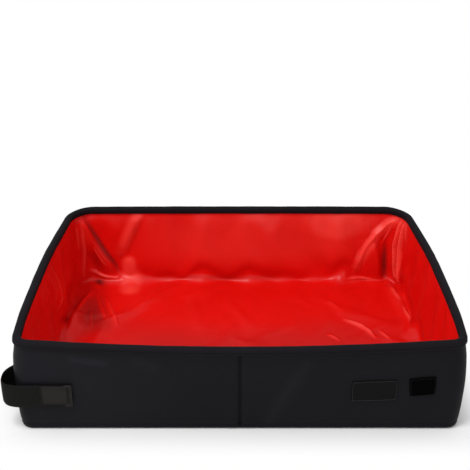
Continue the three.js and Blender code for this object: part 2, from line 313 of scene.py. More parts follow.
def lean(points, sizes):
    """The places of points once the walls have bowed out above their fold lines and the rim has sagged."""
    points = np.array(points, float)
    x, y, z = points.T
    middle_x = np.clip(1 - (x / HALF_LENGTH) ** 2, 0, 1)
    middle_y = np.clip(1 - (y / HALF_DEPTH) ** 2, 0, 1)
    rise = np.clip((z - SIDE_FOLD) / (RIM_TOP - SIDE_FOLD), 0, 1) ** 1.3
    on_front = edge_weight(y + HALF_DEPTH, LEAN_REACH)
    on_back = edge_weight(HALF_DEPTH - y, LEAN_REACH)
    on_end = edge_weight(HALF_LENGTH - np.abs(x), LEAN_REACH)
    forward = np.clip(0.35 - 0.65 * y / HALF_DEPTH, 0, 1) ** 2
    backward = smooth(y / HALF_DEPTH)
    high = np.clip(z / RIM_TOP, 0, 1)
    swell = sizes.front_swell * forward * (0.8 - 0.4 * high + 0.6 * np.sin(math.pi * high))
    tuck = sizes.back_tuck * backward * rise
    moved = points.copy()
    moved[:, 0] += np.sign(x) * (sizes.end_bow * middle_y * rise + swell - tuck) * on_end
    moved[:, 1] -= sizes.front_bow * middle_x * rise * on_front
    moved[:, 1] += sizes.back_bow * middle_x * rise * on_back
    moved[:, 2] -= (sizes.rim_dip * middle_x + sizes.front_drop) * on_front * high**2
    return moved


def unleaned(points, sizes):
    """The places of points as if the walls stood straight, near enough for finding where a point lies."""
    return 2 * points - lean(points, sizes)


def positions(mesh):
    """A mesh's vertex places as an array."""
    flat = np.empty(len(mesh.vertices) * 3)
    mesh.vertices.foreach_get("co", flat)
    return flat.reshape(-1, 3)


def directions(mesh):
    """A mesh's smooth vertex normals as an array."""
    flat = np.empty(len(mesh.vertices) * 3)
    mesh.vertices.foreach_get("normal", flat)
    return flat.reshape(-1, 3)


def move_to(mesh, points):
    """Puts a mesh's vertices at these places."""
    mesh.vertices.foreach_set("co", points.astype(np.float32).ravel())
    mesh.update()


def set_tone_and_painted_light(mesh, values):
    """Gives a mesh's vertices their painted light and tone: painted highlight, painted sheen and the
    handle's paler ends above 0, painted shade below 0.
    """
    mesh.attributes.new("stress", "FLOAT", "POINT").data.foreach_set("value", values)


def show(mesh, name):
    """A new object for a mesh, in the scene."""
    piece = bpy.data.objects.new(name, mesh)
    bpy.context.scene.collection.objects.link(piece)
    return piece


def opened(mesh):
    """A mesh as a bmesh that can be cut and smoothed."""
    shape = bmesh.new()
    shape.from_mesh(mesh)
    shape.verts.ensure_lookup_table()
    return shape


def finished(shape, name):
    """A bmesh as a named mesh. The bmesh is freed."""
    mesh = bpy.data.meshes.new(name)
    shape.to_mesh(mesh)
    shape.free()
    return mesh


# Where the cloth parts into pieces: one for each body that it rides on

# Half the width of the band at each edge of the spine where the floor's cloth is cut into narrow strips
SPINE_BEND = 0.003
# How far in from the ends, and from the front and the back, cloth still belongs to a wall
CORNER_REACH = 0.030
WALL_REACH = 0.060
# The faces that a cut concerns: how far past a fold line, how far beside the spine and along a crease, from
# which length on near a corner, and how far before the round corners at an end
CUT_MARGIN = 0.002
SPINE_CUT = 0.03
CREASE_CUT = 0.12
CORNER_CUT = 0.15
END_CUT = 0.01
# Points nearer to each other than this are one point
SAME_POINT = 1e-6


def region_of(x, y, z, heel):
    """The part of the cloth that a place belongs to: a body's name, or one that says what it does there."""
    side = "left" if x < 0 else "right"
    facing = "front" if y < 0 else "back"
    straight = HALF_LENGTH - (FRONT_RADIUS if y < 0 else BACK_RADIUS)
    if abs(x) > straight and (abs(y) > HALF_DEPTH - WALL_REACH or abs(x) > HALF_LENGTH - CORNER_REACH):
        return f"end_{side}" if z > END_FOLD else f"{side}_base"
    if z > SIDE_FOLD and abs(y) > HALF_DEPTH - WALL_REACH:
        if abs(x) + z - SIDE_FOLD < SPINE_HALF:
            return f"{facing}_{side}_foot"
        soft = abs(x) < z - SIDE_FOLD + SPINE_HALF
        return f"{facing}_{side}_crease" if soft else f"{facing}_{side}"
    if abs(y) > HALF_DEPTH - heel:
        return f"spine_{facing}_heel" if abs(x) < SPINE_HALF else f"{side}_base"
    if abs(x) < SPINE_HALF + SPINE_BEND:
        return f"spine_{side}"
    return f"{side}_base"


def cutting_planes(heel):
    """Planes along which whole cloth is cut, each with a test for the faces that it concerns."""
    low = SIDE_FOLD + CUT_MARGIN
    planes = [
        ((0, 0, 0), (1, 0, 0), lambda c: True),
        ((0, 0, SIDE_FOLD), (0, 0, 1), lambda c: True),
        ((0, 0, END_FOLD), (0, 0, 1), lambda c: abs(c.x) > HALF_LENGTH - BACK_RADIUS - END_CUT),
    ]
    for facing in (-1, 1):
        straight = HALF_LENGTH - (FRONT_RADIUS if facing < 0 else BACK_RADIUS)
        planes.append(
            ((0, facing * (HALF_DEPTH - heel), 0), (0, 1, 0), lambda c: abs(c.x) < SPINE_CUT and c.z < low)
        )
        for side in (-1, 1):
            planes.append(
                (
                    (side * straight, 0, 0),
                    (1, 0, 0),
                    lambda c, f=facing: c.y * f > 0 and abs(c.x) > CORNER_CUT,
                )
            )
    for side in (-1, 1):
        planes.append(
            (
                (side * SPINE_HALF, 0, SIDE_FOLD),
                (-side, 0, 1),
                lambda c, s=side: c.x * s > 0 and abs(c.x) < CREASE_CUT and c.z > SIDE_FOLD - CUT_MARGIN,
            )
        )
        planes.append(
            (
                (side * SPINE_HALF, 0, SIDE_FOLD),
                (side, 0, 1),
                lambda c: abs(c.x) < SPINE_CUT and -CUT_MARGIN < c.z - SIDE_FOLD < SPINE_CUT,
            )
        )
        for step in range(7):
            place = SPINE_HALF + SPINE_BEND * (1 - step / 3)
            planes.append(((side * place, 0, 0), (1, 0, 0), lambda c: abs(c.x) < SPINE_CUT and c.z < low))
    return planes


def part_cloth(cloth, heel):
    """Cuts whole cloth. Returns its places, normals, faces, marks, regions and, if it has any, its painted
    light and tone.
    """
    whole = opened(cloth)
    for place, across, concerns in cutting_planes(heel):
        faces = [face for face in whole.faces if concerns(face.calc_center_median())]
        edges = {edge for face in faces for edge in face.edges}
        corners = {corner for face in faces for corner in face.verts}
        geometry = list(corners) + list(edges) + faces
        bmesh.ops.bisect_plane(whole, geom=geometry, dist=SAME_POINT, plane_co=place, plane_no=across)
    whole.normal_update()
    uv = whole.loops.layers.uv.active
    whole.verts.index_update()
    places = np.array([corner.co for corner in whole.verts])
    normals = np.array([corner.normal for corner in whole.verts])
    layer = whole.verts.layers.float.get("stress")
    stress = np.array([corner[layer] for corner in whole.verts]) if layer else None
    faces, marks, regions = [], [], []
    for face in whole.faces:
        faces.append([corner.index for corner in face.verts])
        marks.append([tuple(loop[uv].uv) for loop in face.loops])
        regions.append(region_of(*face.calc_center_median(), heel))
    whole.free()
    return places, normals, faces, marks, regions, stress


def cloth_pieces(cloth, name, ply, heel):
    """The pieces of whole cloth by region, each with its thickness behind the face that shows.

    Neighbouring pieces share their edges' places and normals, so no seam shows between them at rest.
    The whole cloth is removed.
    """
    places, normals, faces, marks, regions, stress = part_cloth(cloth, heel)
    pieces = {}
    for region in sorted(set(regions)):
        chosen = [n for n, found in enumerate(regions) if found == region]
        used = sorted({corner for n in chosen for corner in faces[n]})
        number = {corner: n for n, corner in enumerate(used)}
        count = len(used)
        front = places[used]
        direction = normals[used]
        shape = np.concatenate([front, front - direction * ply])
        loops, uvs, lights = [], [], []
        edges = set()
        for n in chosen:
            corners = [number[corner] for corner in faces[n]]
            loops.append(corners)
            uvs.append(marks[n])
            lights.append([direction[corner] for corner in corners])
            edges.update(zip(corners, corners[1:] + corners[:1], strict=True))
            loops.append([corner + count for corner in reversed(corners)])
            uvs.append(marks[n][::-1])
            lights.append([-direction[corner] for corner in reversed(corners)])
        mark_of = {}
        for n in chosen:
            for corner, mark in zip(faces[n], marks[n], strict=True):
                mark_of[number[corner]] = mark
        for a, b in sorted(edges):
            if (b, a) not in edges:
                along = shape[b] - shape[a]
                outward = np.cross(along, direction[a])
                outward /= max(np.linalg.norm(outward), 1e-12)
                loops.append([b, a, a + count, b + count])
                uvs.append([mark_of[b], mark_of[a], mark_of[a], mark_of[b]])
                lights.append([outward] * 4)
        mesh = bpy.data.meshes.new(f"{name}_{region}")
        mesh.from_pydata(shape.tolist(), [], loops)
        layer = mesh.uv_layers.new(name="UVMap")
        layer.data.foreach_set("uv", np.array([mark for face in uvs for mark in face]).ravel())
        mesh.polygons.foreach_set("use_smooth", np.ones(len(loops), bool))
        mesh.normals_split_custom_set([tuple(light) for face in lights for light in face])
        if stress is not None:
            set_tone_and_painted_light(mesh, np.tile(stress[used], 2))
        pieces[region] = show(mesh, f"{name}_{region}")
    bpy.data.meshes.remove(cloth)
    return pieces


def area_of(piece):
    """The area of a closed piece's front, in square metres."""
    return sum(polygon.area for polygon in piece.data.polygons) / 2


# A floor's cloth above this level is the lining
LINING_LEVEL = 0.001


def hang(piece, region, level):
    """Makes a piece of cloth follow its part of the frame; the spine's pieces stay where they are. The level
    only decides whether a base piece gets a mesh of its own.
    """
    side = "left" if "left" in region else "right"
    if region.endswith("_heel"):
        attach(piece, "spine")
        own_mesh(piece)
    elif region.startswith("spine"):
        if side == "left":
            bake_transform(piece)
        else:
            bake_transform(piece)
    elif region.endswith("_base"):
        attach(piece, region)
        if level > LINING_LEVEL:
            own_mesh(piece)
    elif region.startswith("end"):
        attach(piece, region)
        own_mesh(piece)
    else:
        body = region.removesuffix("_crease").removesuffix("_foot")
        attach(piece, body)
        if region.endswith("_crease"):
            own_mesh(piece)
        elif region.endswith("_foot"):
            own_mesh(piece)
        else:
            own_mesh(piece)


def solids_of(kind, base=(), corner=None, crease=None, spine=None):
    """The solids that the cloth of each region stands for, by the region's name."""
    found = {"spine_left": [spine]} if spine else {}
    for side in SIDES:
        if base:
            found[f"{side}_base"] = [f"{name}_{side}" for name in base]
        corners = [f"corner_{facing}_{side}_{corner}" for facing in FACINGS] if corner else []
        found[f"end_{side}"] = [f"end_{side}_{kind}", *corners]
        for facing in FACINGS:
            found[f"{facing}_{side}"] = [f"{facing}_{side}_{kind}"]
            if crease:
                found[f"{facing}_{side}_crease"] = [f"{facing}_{side}_crease_{crease}"]
    return found


def dress(pieces, stands_for, material, level, held=None):
    """Gives the cut pieces their finish and their body, and hides the solids that they stand for."""
    missing = sorted(set(stands_for) - set(pieces))
    if missing:
        raise RuntimeError(f"No cloth was cut for {', '.join(missing)}")
    for region, piece in pieces.items():
        piece.data.materials.append(material)
        nodes = stands_for.get(region, [])
        if nodes:
            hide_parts(*nodes)
        hang(piece, region, level)
        if held:
            declare_sheet(piece)


def declare_sheet(piece):
    """Measures a piece's box, unrolled, and its own area, and keeps none of them."""
    points = positions(piece.data)
    spread = np.sort(points.max(axis=0) - points.min(axis=0))[::-1]
    width, length = float(spread[1]), float(spread[0])
    area = area_of(piece)
    if area > width * length:
        width = area / length


# Materials


def new_material(name):
    """A node material with its shader and its nodes' tree."""
    material = bpy.data.materials.new(name)
    material.use_nodes = True
    tree = material.node_tree
    return material, tree, tree.nodes["Principled BSDF"]


def new_group(name, kind, inputs, outputs):
    """A node group with these sockets, and its inner ends."""
    tree = bpy.data.node_groups.new(name, kind)
    for label, socket_type, value in inputs:
        socket = tree.interface.new_socket(name=label, in_out="INPUT", socket_type=socket_type)
        if value is not None:
            socket.default_value = value
    for label, socket_type in outputs:
        tree.interface.new_socket(name=label, in_out="OUTPUT", socket_type=socket_type)
    return tree, tree.nodes.new("NodeGroupInput"), tree.nodes.new("NodeGroupOutput")


def add(tree, kind, **settings):
    """A node of a kind with these settings."""
    node = tree.nodes.new(kind)
    for key, value in settings.items():
        setattr(node, key, value)
    return node


def set_inputs(node, values):
    """Sets a node's inputs by their names."""
    for label, value in values.items():
        node.inputs[label].default_value = value


def connect(tree, *links):
    """Links nodes, each link given as a node, its output, the next node and its input."""
    for source, output, target, entry in links:
        tree.links.new(source.outputs[output], target.inputs[entry])


def maths(tree, operation, first, second):
    """A Math node on two values, each a socket or a number."""
    node = add(tree, "ShaderNodeMath", operation=operation)
    for slot, value in enumerate((first, second)):
        if isinstance(value, bpy.types.NodeSocket):
            tree.links.new(value, node.inputs[slot])
        else:
            node.inputs[slot].default_value = value
    return node.outputs[0]


def weave_group():
    """Plain weave: threads over and under in both directions, as a height from 0 to 1."""
    found = bpy.data.node_groups.get("Plain weave")
    if found:
        return found
    tree, start, end = new_group(
        "Plain weave",
        "ShaderNodeTree",
        [("Vector", "NodeSocketVector", None), ("Pitch", "NodeSocketFloat", 0.0008)],
        [("Height", "NodeSocketFloat")],
    )
    parts = add(tree, "ShaderNodeSeparateXYZ")
    connect(tree, (start, "Vector", parts, "Vector"))
    turns = maths(tree, "DIVIDE", math.pi, start.outputs["Pitch"])
    warp = maths(tree, "SINE", maths(tree, "MULTIPLY", parts.outputs["X"], turns), 0.0)
    weft = maths(tree, "SINE", maths(tree, "MULTIPLY", parts.outputs["Y"], turns), 0.0)
    crossed = maths(tree, "MULTIPLY", warp, weft)
    tree.links.new(maths(tree, "MULTIPLY", maths(tree, "ADD", crossed, 1.0), 0.5), end.inputs["Height"])
    return tree


def wear_group():
    """Cloudy unevenness, as a value round 1: handling, dust and where the cloth was pressed."""
    found = bpy.data.node_groups.get("Uneven wear")
    if found:
        return found
    tree, start, end = new_group(
        "Uneven wear",
        "ShaderNodeTree",
        [
            ("Vector", "NodeSocketVector", None),
            ("Size", "NodeSocketFloat", 0.05),
            ("Amount", "NodeSocketFloat", 0.2),
        ],
        [("Value", "NodeSocketFloat")],
    )
    cloud = add(tree, "ShaderNodeTexNoise")
    set_inputs(cloud, {"Detail": 4, "Roughness": 0.6})
    connect(tree, (start, "Vector", cloud, "Vector"))
    tree.links.new(maths(tree, "DIVIDE", 1.0, start.outputs["Size"]), cloud.inputs["Scale"])
    centred = maths(tree, "SUBTRACT", cloud.outputs["Fac"], 0.5)
    scaled = maths(tree, "MULTIPLY", centred, start.outputs["Amount"])
    tree.links.new(maths(tree, "ADD", scaled, 1.0), end.inputs["Value"])
    return tree


def place_group(tree, group, vector, **values):
    """A group in a material, fed by a vector and with its own values."""
    node = add(tree, "ShaderNodeGroup", node_tree=group)
    tree.links.new(vector, node.inputs["Vector"])
    set_inputs(node, values)
    return node.outputs[0]


def worn(tree, size, amount):
    """Uneven wear over a piece: the size of its clouds, and how strong they are."""
    place = add(tree, "ShaderNodeTexCoord").outputs["Object"]
    return place_group(tree, wear_group(), place, Size=size, Amount=amount)


def tinted(tree, colour, value):
    """A colour made lighter or darker by a value round 1."""
    mix = add(tree, "ShaderNodeVectorMath", operation="SCALE")
    if isinstance(colour, bpy.types.NodeSocket):
        tree.links.new(colour, mix.inputs[0])
    else:
        mix.inputs[0].default_value = colour
    tree.links.new(value, mix.inputs["Scale"])
    return mix.outputs[0]


# Pale colours mixed in: painted sheen on the dark cloth, the webbing's paler ends, and a painted highlight
# on the red film's folds
PAINTED_SHEEN_COLOUR = (0.031, 0.030, 0.042, 1)
PALE_WEBBING = (0.042, 0.038, 0.032, 1)
PAINTED_FOLD_HIGHLIGHT = (1.0, 0.085, 0.065, 1)


def with_tone_and_painted_light(tree, colour, pale):
    """A colour moved by the piece's painted light and tone: above 0 towards a pale one, below 0 towards
    black as painted shade.
    """
    stress = add(tree, "ShaderNodeAttribute", attribute_name="stress").outputs["Fac"]
    shade = maths(tree, "ADD", maths(tree, "MINIMUM", stress, 0.0), 1.0)
    mix = add(tree, "ShaderNodeMix", data_type="RGBA")
    tree.links.new(maths(tree, "MULTIPLY", maths(tree, "MAXIMUM", stress, 0.0), 0.8), mix.inputs["Factor"])
    tree.links.new(tinted(tree, colour, shade), mix.inputs["A"])
    mix.inputs["B"].default_value = pale
    return mix.outputs["Result"]


def bump(tree, shader, height, strength, distance):
    """Raises a height into the shader's normal."""
    node = add(tree, "ShaderNodeBump")
    set_inputs(node, {"Strength": strength, "Distance": distance})
    tree.links.new(height, node.inputs["Height"])
    connect(tree, (node, "Normal", shader, "Normal"))


def woven_material(name, colour, pitch, depth, roughness, gloss, clouds, sheen=0.0, pale_colour=PAINTED_SHEEN_COLOUR):
    """Woven cloth on the piece's own UV map: thread relief, uneven colour and a broad soft gloss."""
    material, tree, shader = new_material(name)
    marks = add(tree, "ShaderNodeTexCoord").outputs["UV"]
    weave = place_group(tree, weave_group(), marks, Pitch=pitch)
    # The piece's painted light and tone move its colour: painted sheen, painted shade, and paler ends on the
    # webbing
    tint = with_tone_and_painted_light(tree, tinted(tree, colour, worn(tree, 0.06, clouds)), pale_colour)
    tree.links.new(tint, shader.inputs["Base Color"])
    rough = maths(tree, "MULTIPLY", worn(tree, 0.02, 0.25), roughness)
    tree.links.new(rough, shader.inputs["Roughness"])
    set_inputs(shader, {"Specular IOR Level": gloss, "Sheen Weight": sheen})
    bump(tree, shader, weave, 0.5, depth)
    return material


def lining_material(colour):
    """Glossy coated cloth: deep red, with a painted highlight on its folds, painted shade in pleats and
    hollows, and an uneven gloss.
    """
    material, tree, shader = new_material("Lining cloth")
    tint = with_tone_and_painted_light(tree, tinted(tree, colour, worn(tree, 0.05, 0.25)), PAINTED_FOLD_HIGHLIGHT)
    tree.links.new(tint, shader.inputs["Base Color"])
    stress = add(tree, "ShaderNodeAttribute", attribute_name="stress").outputs["Fac"]
    matt = maths(tree, "MULTIPLY", maths(tree, "MINIMUM", stress, 0.0), -0.5)
    gloss = maths(tree, "MULTIPLY", worn(tree, 0.03, 0.35), 0.34)
    tree.links.new(maths(tree, "ADD", gloss, matt), shader.inputs["Roughness"])
    set_inputs(shader, {"Specular IOR Level": 0.22})
    creases = add(tree, "ShaderNodeTexNoise")
    set_inputs(creases, {"Scale": 22, "Detail": 1, "Distortion": 0.6})
    connect(tree, (add(tree, "ShaderNodeTexCoord"), "Object", creases, "Vector"))
    bump(tree, shader, creases.outputs["Fac"], 0.4, 0.0022)
    return material


def thread_material(name, colour):
    """Sewing thread with a twist."""
    material, tree, shader = new_material(name)
    tree.links.new(tinted(tree, colour, worn(tree, 0.0015, 0.6)), shader.inputs["Base Color"])
    set_inputs(shader, {"Roughness": 0.6, "Specular IOR Level": 0.2})
    return material


def board_material(colour):
    """Pressed board: matt, with a fine grain."""
    material, tree, shader = new_material("Stiff board")
    tree.links.new(tinted(tree, colour, worn(tree, 0.04, 0.2)), shader.inputs["Base Color"])
    set_inputs(shader, {"Roughness": 0.8})
    bump(tree, shader, worn(tree, 0.002, 0.5), 0.4, 0.0002)
    return material


# Cover and binding: rows round the tray

# How far the lower edge draws in, and from what height, along the walls and at the corners, how far along
# the rim a corner reaches, and how high the cloth under the tray lies
HEEL_INSET, HEEL_HEIGHT = 0.0025, 0.004
CORNER_INSET, CORNER_HEEL = 0.0022, 0.0042
CORNER_LENGTH = 0.045
SOLE_LEVEL = 0.0003
# How far below the rim the cover starts, and how far below the seam its rows lie wider apart
COVER_TUCK = 0.003
FINE_ROWS = 0.003
# Heights of the seam along the binding's lower edge and of the pressed line above the tray's lower edge
SEAM_PLACE = 0.0929
WELT_PLACE = 0.0062
# The cover's soft unevenness: its middle, the height and size of each kind of swell, where it starts above
# the floor, and over what heights it grows there and dies away below the seam
COVER_SWELL = 0.0007
COVER_SWELLS = ((0.0009, 0.075), (0.0003, 0.022))
SWELL_START = 0.003
SWELL_GROWS, SWELL_DIES = 0.02, 0.015
# Lines pressed in the cover, beside the folding crease and at a level: rise, place and half width
CREASE_LINES = ((-0.0016, 0, 0.0018), (0.0005, 0.007, 0.005))
LEVEL_LINES = ((-0.0003, SEAM_PLACE, 0.0010), (-0.0007, WELT_PLACE, 0.0010))
# Cover this near to the front's or the back's outer face is on the wall
ON_WALL = 0.004


def cover_rows(across, along):
    """Rows of the cover from under the binding down to the floor and in under the tray."""
    outer, outward = ring(0, across, along)
    corner = corner_share(across, along, CORNER_LENGTH)
    inset = HEEL_INSET + (CORNER_INSET - HEEL_INSET) * corner
    heel = HEEL_HEIGHT + (CORNER_HEEL - HEEL_HEIGHT) * corner
    top, below = RIM_TOP - COVER_TUCK, SEAM_PLACE - FINE_ROWS
    fine, coarse, bends = 14, 44, 9
    rows = [(outer, np.full(len(outer), top + (below - top) * level / fine)) for level in range(fine)]
    rows += [(outer, below + (heel - below) * level / coarse) for level in range(coarse + 1)]
    for bend in range(1, bends + 1):
        angle = math.pi / 2 * bend / bends
        drawn = inset * (1 - math.cos(angle))
        rows.append((outer - outward * drawn[:, None], heel * (1 - math.sin(angle)) + SOLE_LEVEL))
    return rows


# The boxes of what is sewn to the front, and how far beside, above and round them the cover lies flat
SEWN_BESIDE, SEWN_ABOVE, SEWN_FADE = 0.004, 0.003, 0.012
SEWN_ON = [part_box(node) for node in ("webbing_handle", "hook_loop_pad", "bare_label")]


def flattened(x, z):
    """0 where the handle or a patch is sewn to the front, rising to 1 a little way from it."""
    away = 1.0
    for low, high in SEWN_ON:
        out = max(low.x - x, x - high.x - SEWN_BESIDE, low.z - z, z - high.z - SEWN_ABOVE, 0.0)
        away = min(away, out / SEWN_FADE)
    return away


def ridge(value, place, width):
    """1 on a line, falling to 0 beside it over this width."""
    return math.exp(-(((value - place) / width) ** 2))


def cover_rise(x, y, z):
    """How far the cover stands out, in metres: soft unevenness, and a pressed line at the folding crease."""
    spot = Vector((x, y, z))
    soft = sum((height * noise.noise(spot / size) for height, size in COVER_SWELLS), COVER_SWELL)
    above, below = (z - SWELL_START) / SWELL_GROWS, (SEAM_PLACE - z) / SWELL_DIES
    clear = min(max(above, 0), 1) * min(max(below, 0), 1)
    if y < 0:
        clear *= flattened(x, z)
    rise = clear * max(soft, 0)
    if abs(y) > HALF_DEPTH - ON_WALL and z > HEEL_HEIGHT:
        rise += sum(height * ridge(abs(x), place, width) for height, place, width in CREASE_LINES)
    return sum((height * ridge(z, place, width) for height, place, width in LEVEL_LINES), rise)


# Painted sheen and painted light on the front, as (x, height), the radius and how pale, in millimetres
PAINTED_SHEEN = (
    ((-190, 66), (-130, 40), 60, 0.13),
    ((-150, 82), (-122, 79), 5, 0.32),
    ((-92, 82), (-78, 74), 8, 0.14),
    ((60, 80), (28, 12), 6, 0.13),
    ((-185, 60), (-178, 12), 12, 0.12),
)


# Painted shade in the cover's dark lines, in the crease, the seam and the hem: how dark, and half their
# width
CREASE_SHADE, CREASE_WIDTH = 0.75, 0.0013
SEAM_SHADE, SEAM_WIDTH = 0.6, 0.0008
HEM_SHADE, HEM_WIDTH = 0.55, 0.0016
HEM_PLACE = 0.0010


def cover_painted_light(points):
    """Painted light on the cover: painted sheen, above 0, and painted shade in a crease, seam or hem, below
    0.
    """
    x, y, z = points.T
    on_walls = np.abs(y) > HALF_DEPTH - ON_WALL
    crease = CREASE_SHADE * np.exp(-((x / CREASE_WIDTH) ** 2)) * on_walls * (z > SWELL_START)
    seam = SEAM_SHADE * np.exp(-(((z - SEAM_PLACE) / SEAM_WIDTH) ** 2))
    hem = HEM_SHADE * np.exp(-(((z - HEM_PLACE) / HEM_WIDTH) ** 2))
    pale = np.zeros(len(points))
    for start, end, radius, amount in PAINTED_SHEEN:
        away, _, _ = nearest(points[:, [0, 2]], (start, end))
        pale = np.maximum(pale, amount * np.exp(-((away * 1000 / radius) ** 2)) * (y < 0) * on_walls)
    return pale - np.maximum(np.maximum(crease, seam), hem)


# Heights of the tape's edge inside and outside, and of its stitched groove, as shares of the solid's height
# below the rim
INNER_PLACE = RIM_TOP - 0.68 * (RIM_TOP - BINDING_LOW)
OUTER_PLACE = RIM_TOP - 0.72 * (RIM_TOP - BINDING_LOW)
GROOVE_PLACE = RIM_TOP - 0.47 * (RIM_TOP - BINDING_LOW)
# Half the groove's width and how much painted shade darkens it, and the height and size of the tape's
# unevenness
GROOVE_WIDTH = 0.0010
GROOVE_SHADE = 0.2
TAPE_RISE, TAPE_SPAN = 0.00025, 0.02
# The tape's section, as ways in and up from its face at these places, the depth of its very edge, and the
# height of its rounded crown
OUTER_EDGE = ((0.0004, 0.0001), (0, 0.0009))
GROOVE = ((0, -GROOVE_WIDTH), (0.0003, -0.0004), (0.0005, 0), (0.0003, 0.0004), (0, GROOVE_WIDTH))
INNER_EDGE = ((0, 0.0018), (0, 0.0008), (-0.0004, 0))
EDGE_DEPTH = 0.0002
CROWN = 0.0026
# The level with which the tape's pieces and its stitches are hung on the frame
TAPE_LEVEL = 0.09


def binding_section():
    """The tape's outer face as (depth, height) points, from its outer edge over the rim to its inner one."""
    proud = HALF_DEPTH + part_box("front_left_binding")[0].y
    outer, inner = proud, WALL_THICKNESS - proud
    middle = (outer + inner) / 2
    half = (inner - outer) / 2
    section = [(EDGE_DEPTH, OUTER_PLACE)]
    section += [(outer + way_in, OUTER_PLACE + way_up) for way_in, way_up in OUTER_EDGE]
    section += [(outer + way_in, GROOVE_PLACE + way_up) for way_in, way_up in GROOVE]
    for step in range(9):
        angle = math.pi * (1 - step / 8)
        section.append((middle + half * math.cos(angle), RIM_TOP - CROWN + CROWN * math.sin(angle)))
    return section + [(inner + way_in, INNER_PLACE + way_up) for way_in, way_up in INNER_EDGE]


# Folds that the photograph shows in the lining: the surface, the line along the crest, the rise there, how
# far it falls to the left and to the right of the line, whether the crest is sharp, and the light painted on
# the cloth there: a painted highlight above 0, painted shade below 0. Millimetres. A place on the walls is
# (way round from the middle of the back, height), on the floor (x, y), and across the foot of the back wall
# (x, height up the wall), where a height below 0 is a way out on the floor.
LINING_FOLDS = (
    ("wall", ((-189, 90), (-166, 51), (-154, 31), (-144, 10)), 7.0, 4, 18, True, 0.1),
    ("wall", ((-184, 90), (-161, 51), (-149, 31), (-142, 14)), 0.0, 5, 5, True, -0.75),
    ("wall", ((-176, 50), (-168, 34), (-162, 18)), 0.0, 12, 12, False, -0.35),
    ("wall", ((-172, 53), (-157, 29)), 1.8, 2, 2, True, 0.9),
    ("wall", ((-190, 84), (-185, 45), (-188, 15)), 4.0, 3, 4, True, 0.45),
    ("wall", ((-198, 84), (-193, 52)), 2.0, 2.5, 2.5, True, 0.35),
    ("foot", ((-131, 24), (-130, -2)), 4.0, 12, 12, False, 0.52),
    ("foot", ((-130, 6), (-129, -22)), 4.0, 17, 17, False, 0.46),
    ("wall", ((-112, 9), (60, 9)), 0.0, 8, 8, False, -0.25),
    ("wall", ((-100, 60), (30, 66), (150, 64)), 0.0, 50, 50, False, 0.20),
    ("wall", ((-114, 98), (-126, 74), (-139, 44)), 4.5, 9, 11, False, 0.4),
    ("wall", ((-178, 20), (-157, 11), (-141, 7)), 3.5, 4, 4, True, 0.45),
    ("floor", ((-172, 140), (-163, 128)), 0.0, 8, 6, True, -0.8),
    ("floor", ((-172, 122), (-179, 75), (-187, 10)), 7.0, 13, 9, False, 0.1),
    ("floor", ((-172, 108), (-178, 80), (-186, 42)), 2.5, 4, 3, True, 0.4),
    ("floor", ((-166, 103), (-147, 44)), 1.8, 2, 4, True, 0.2),
    ("floor", ((-154, 96), (-134, 35)), 1.8, 2, 4, True, 0.2),
    ("floor", ((-169, 98), (-163, 30)), 1.5, 2, 3, True, 0.1),
    ("wall", ((-309, 86), (-297, 64), (-302, 46), (-316, 38)), 1.8, 3, 3, True, 0.2),
    ("wall", ((-325, 84), (-313, 60), (-322, 44)), 1.3, 3, 3, True, 0.1),
    ("wall", ((-345, 82), (-333, 62), (-341, 40)), 1.2, 3, 3, True, 0.1),
    ("wall", ((195, 93), (175, 81), (161, 69), (151, 52), (139, 25)), 6.0, 10, 6, True, 0.8),
    ("wall", ((189, 92), (170, 57)), 2.5, 3, 3, True, 0.5),
    ("wall", ((157, 66), (164, 40), (169, 4)), 7.0, 6, 20, True, 0.0),
    ("wall", ((173, 60), (175, 6)), 0.0, 6, 6, True, -0.75),
    ("wall", ((198, 95), (188, 55), (189, 27), (193, 4)), 6.5, 4.5, 5, True, 1.0),
    ("wall", ((204, 95), (198, 55), (201, 6)), 6.5, 4.5, 5, True, 1.0),
    ("wall", ((208, 95), (211, 66)), 2.5, 2.5, 2.5, True, 0.7),
    ("wall", ((214, 90), (219, 62)), 1.5, 3, 3, True, 0.2),
    ("wall", ((80, 84), (118, 80), (150, 88)), 0.0, 30, 30, False, 0.55),
    ("wall", ((120, 9), (148, 9), (172, 6)), 2.5, 3, 3, True, 0.5),
    ("floor", ((180, 130), (186, 87), (191, 53), (187, 8)), 5.5, 7, 11, False, 0.1),
    ("floor", ((181, 116), (188, 82)), 2.5, 3, 4, True, 0.6),
    ("floor", ((189, 66), (191, 34)), 2.5, 3, 4, True, 0.6),
    ("floor", ((119, 48), (136, 32), (147, 10)), 3.5, 4, 4, True, 0.75),
    ("floor", ((155, 22), (163, 6)), 2.0, 3, 3, True, 0.4),
    ("floor", ((97, 16), (108, 4)), 1.8, 3, 3, True, 0.4),
    ("floor", ((-175, 4), (0, -40), (178, 4)), 0.0, 85, 120, False, -0.34),
    ("floor", ((-172, 110), (-165, 60), (-150, 10)), 0.0, 26, 36, False, -0.55),
)


def unrolled(points):
    """The walls' places as (way round from the middle of the back, height)."""
    radius = BACK_RADIUS - WALL_THICKNESS
    x_end, y_end = HALF_LENGTH - BACK_RADIUS, HALF_DEPTH - BACK_RADIUS
    out, back = np.abs(points[:, 0]) - x_end, points[:, 1] - y_end
    way = radius * np.arctan2(np.maximum(out, 0), np.maximum(back, 1e-9)) - np.minimum(back, 0)
    way = x_end + np.where(out > 0, way, out)
    return np.column_stack([np.sign(points[:, 0]) * way, points[:, 2]])


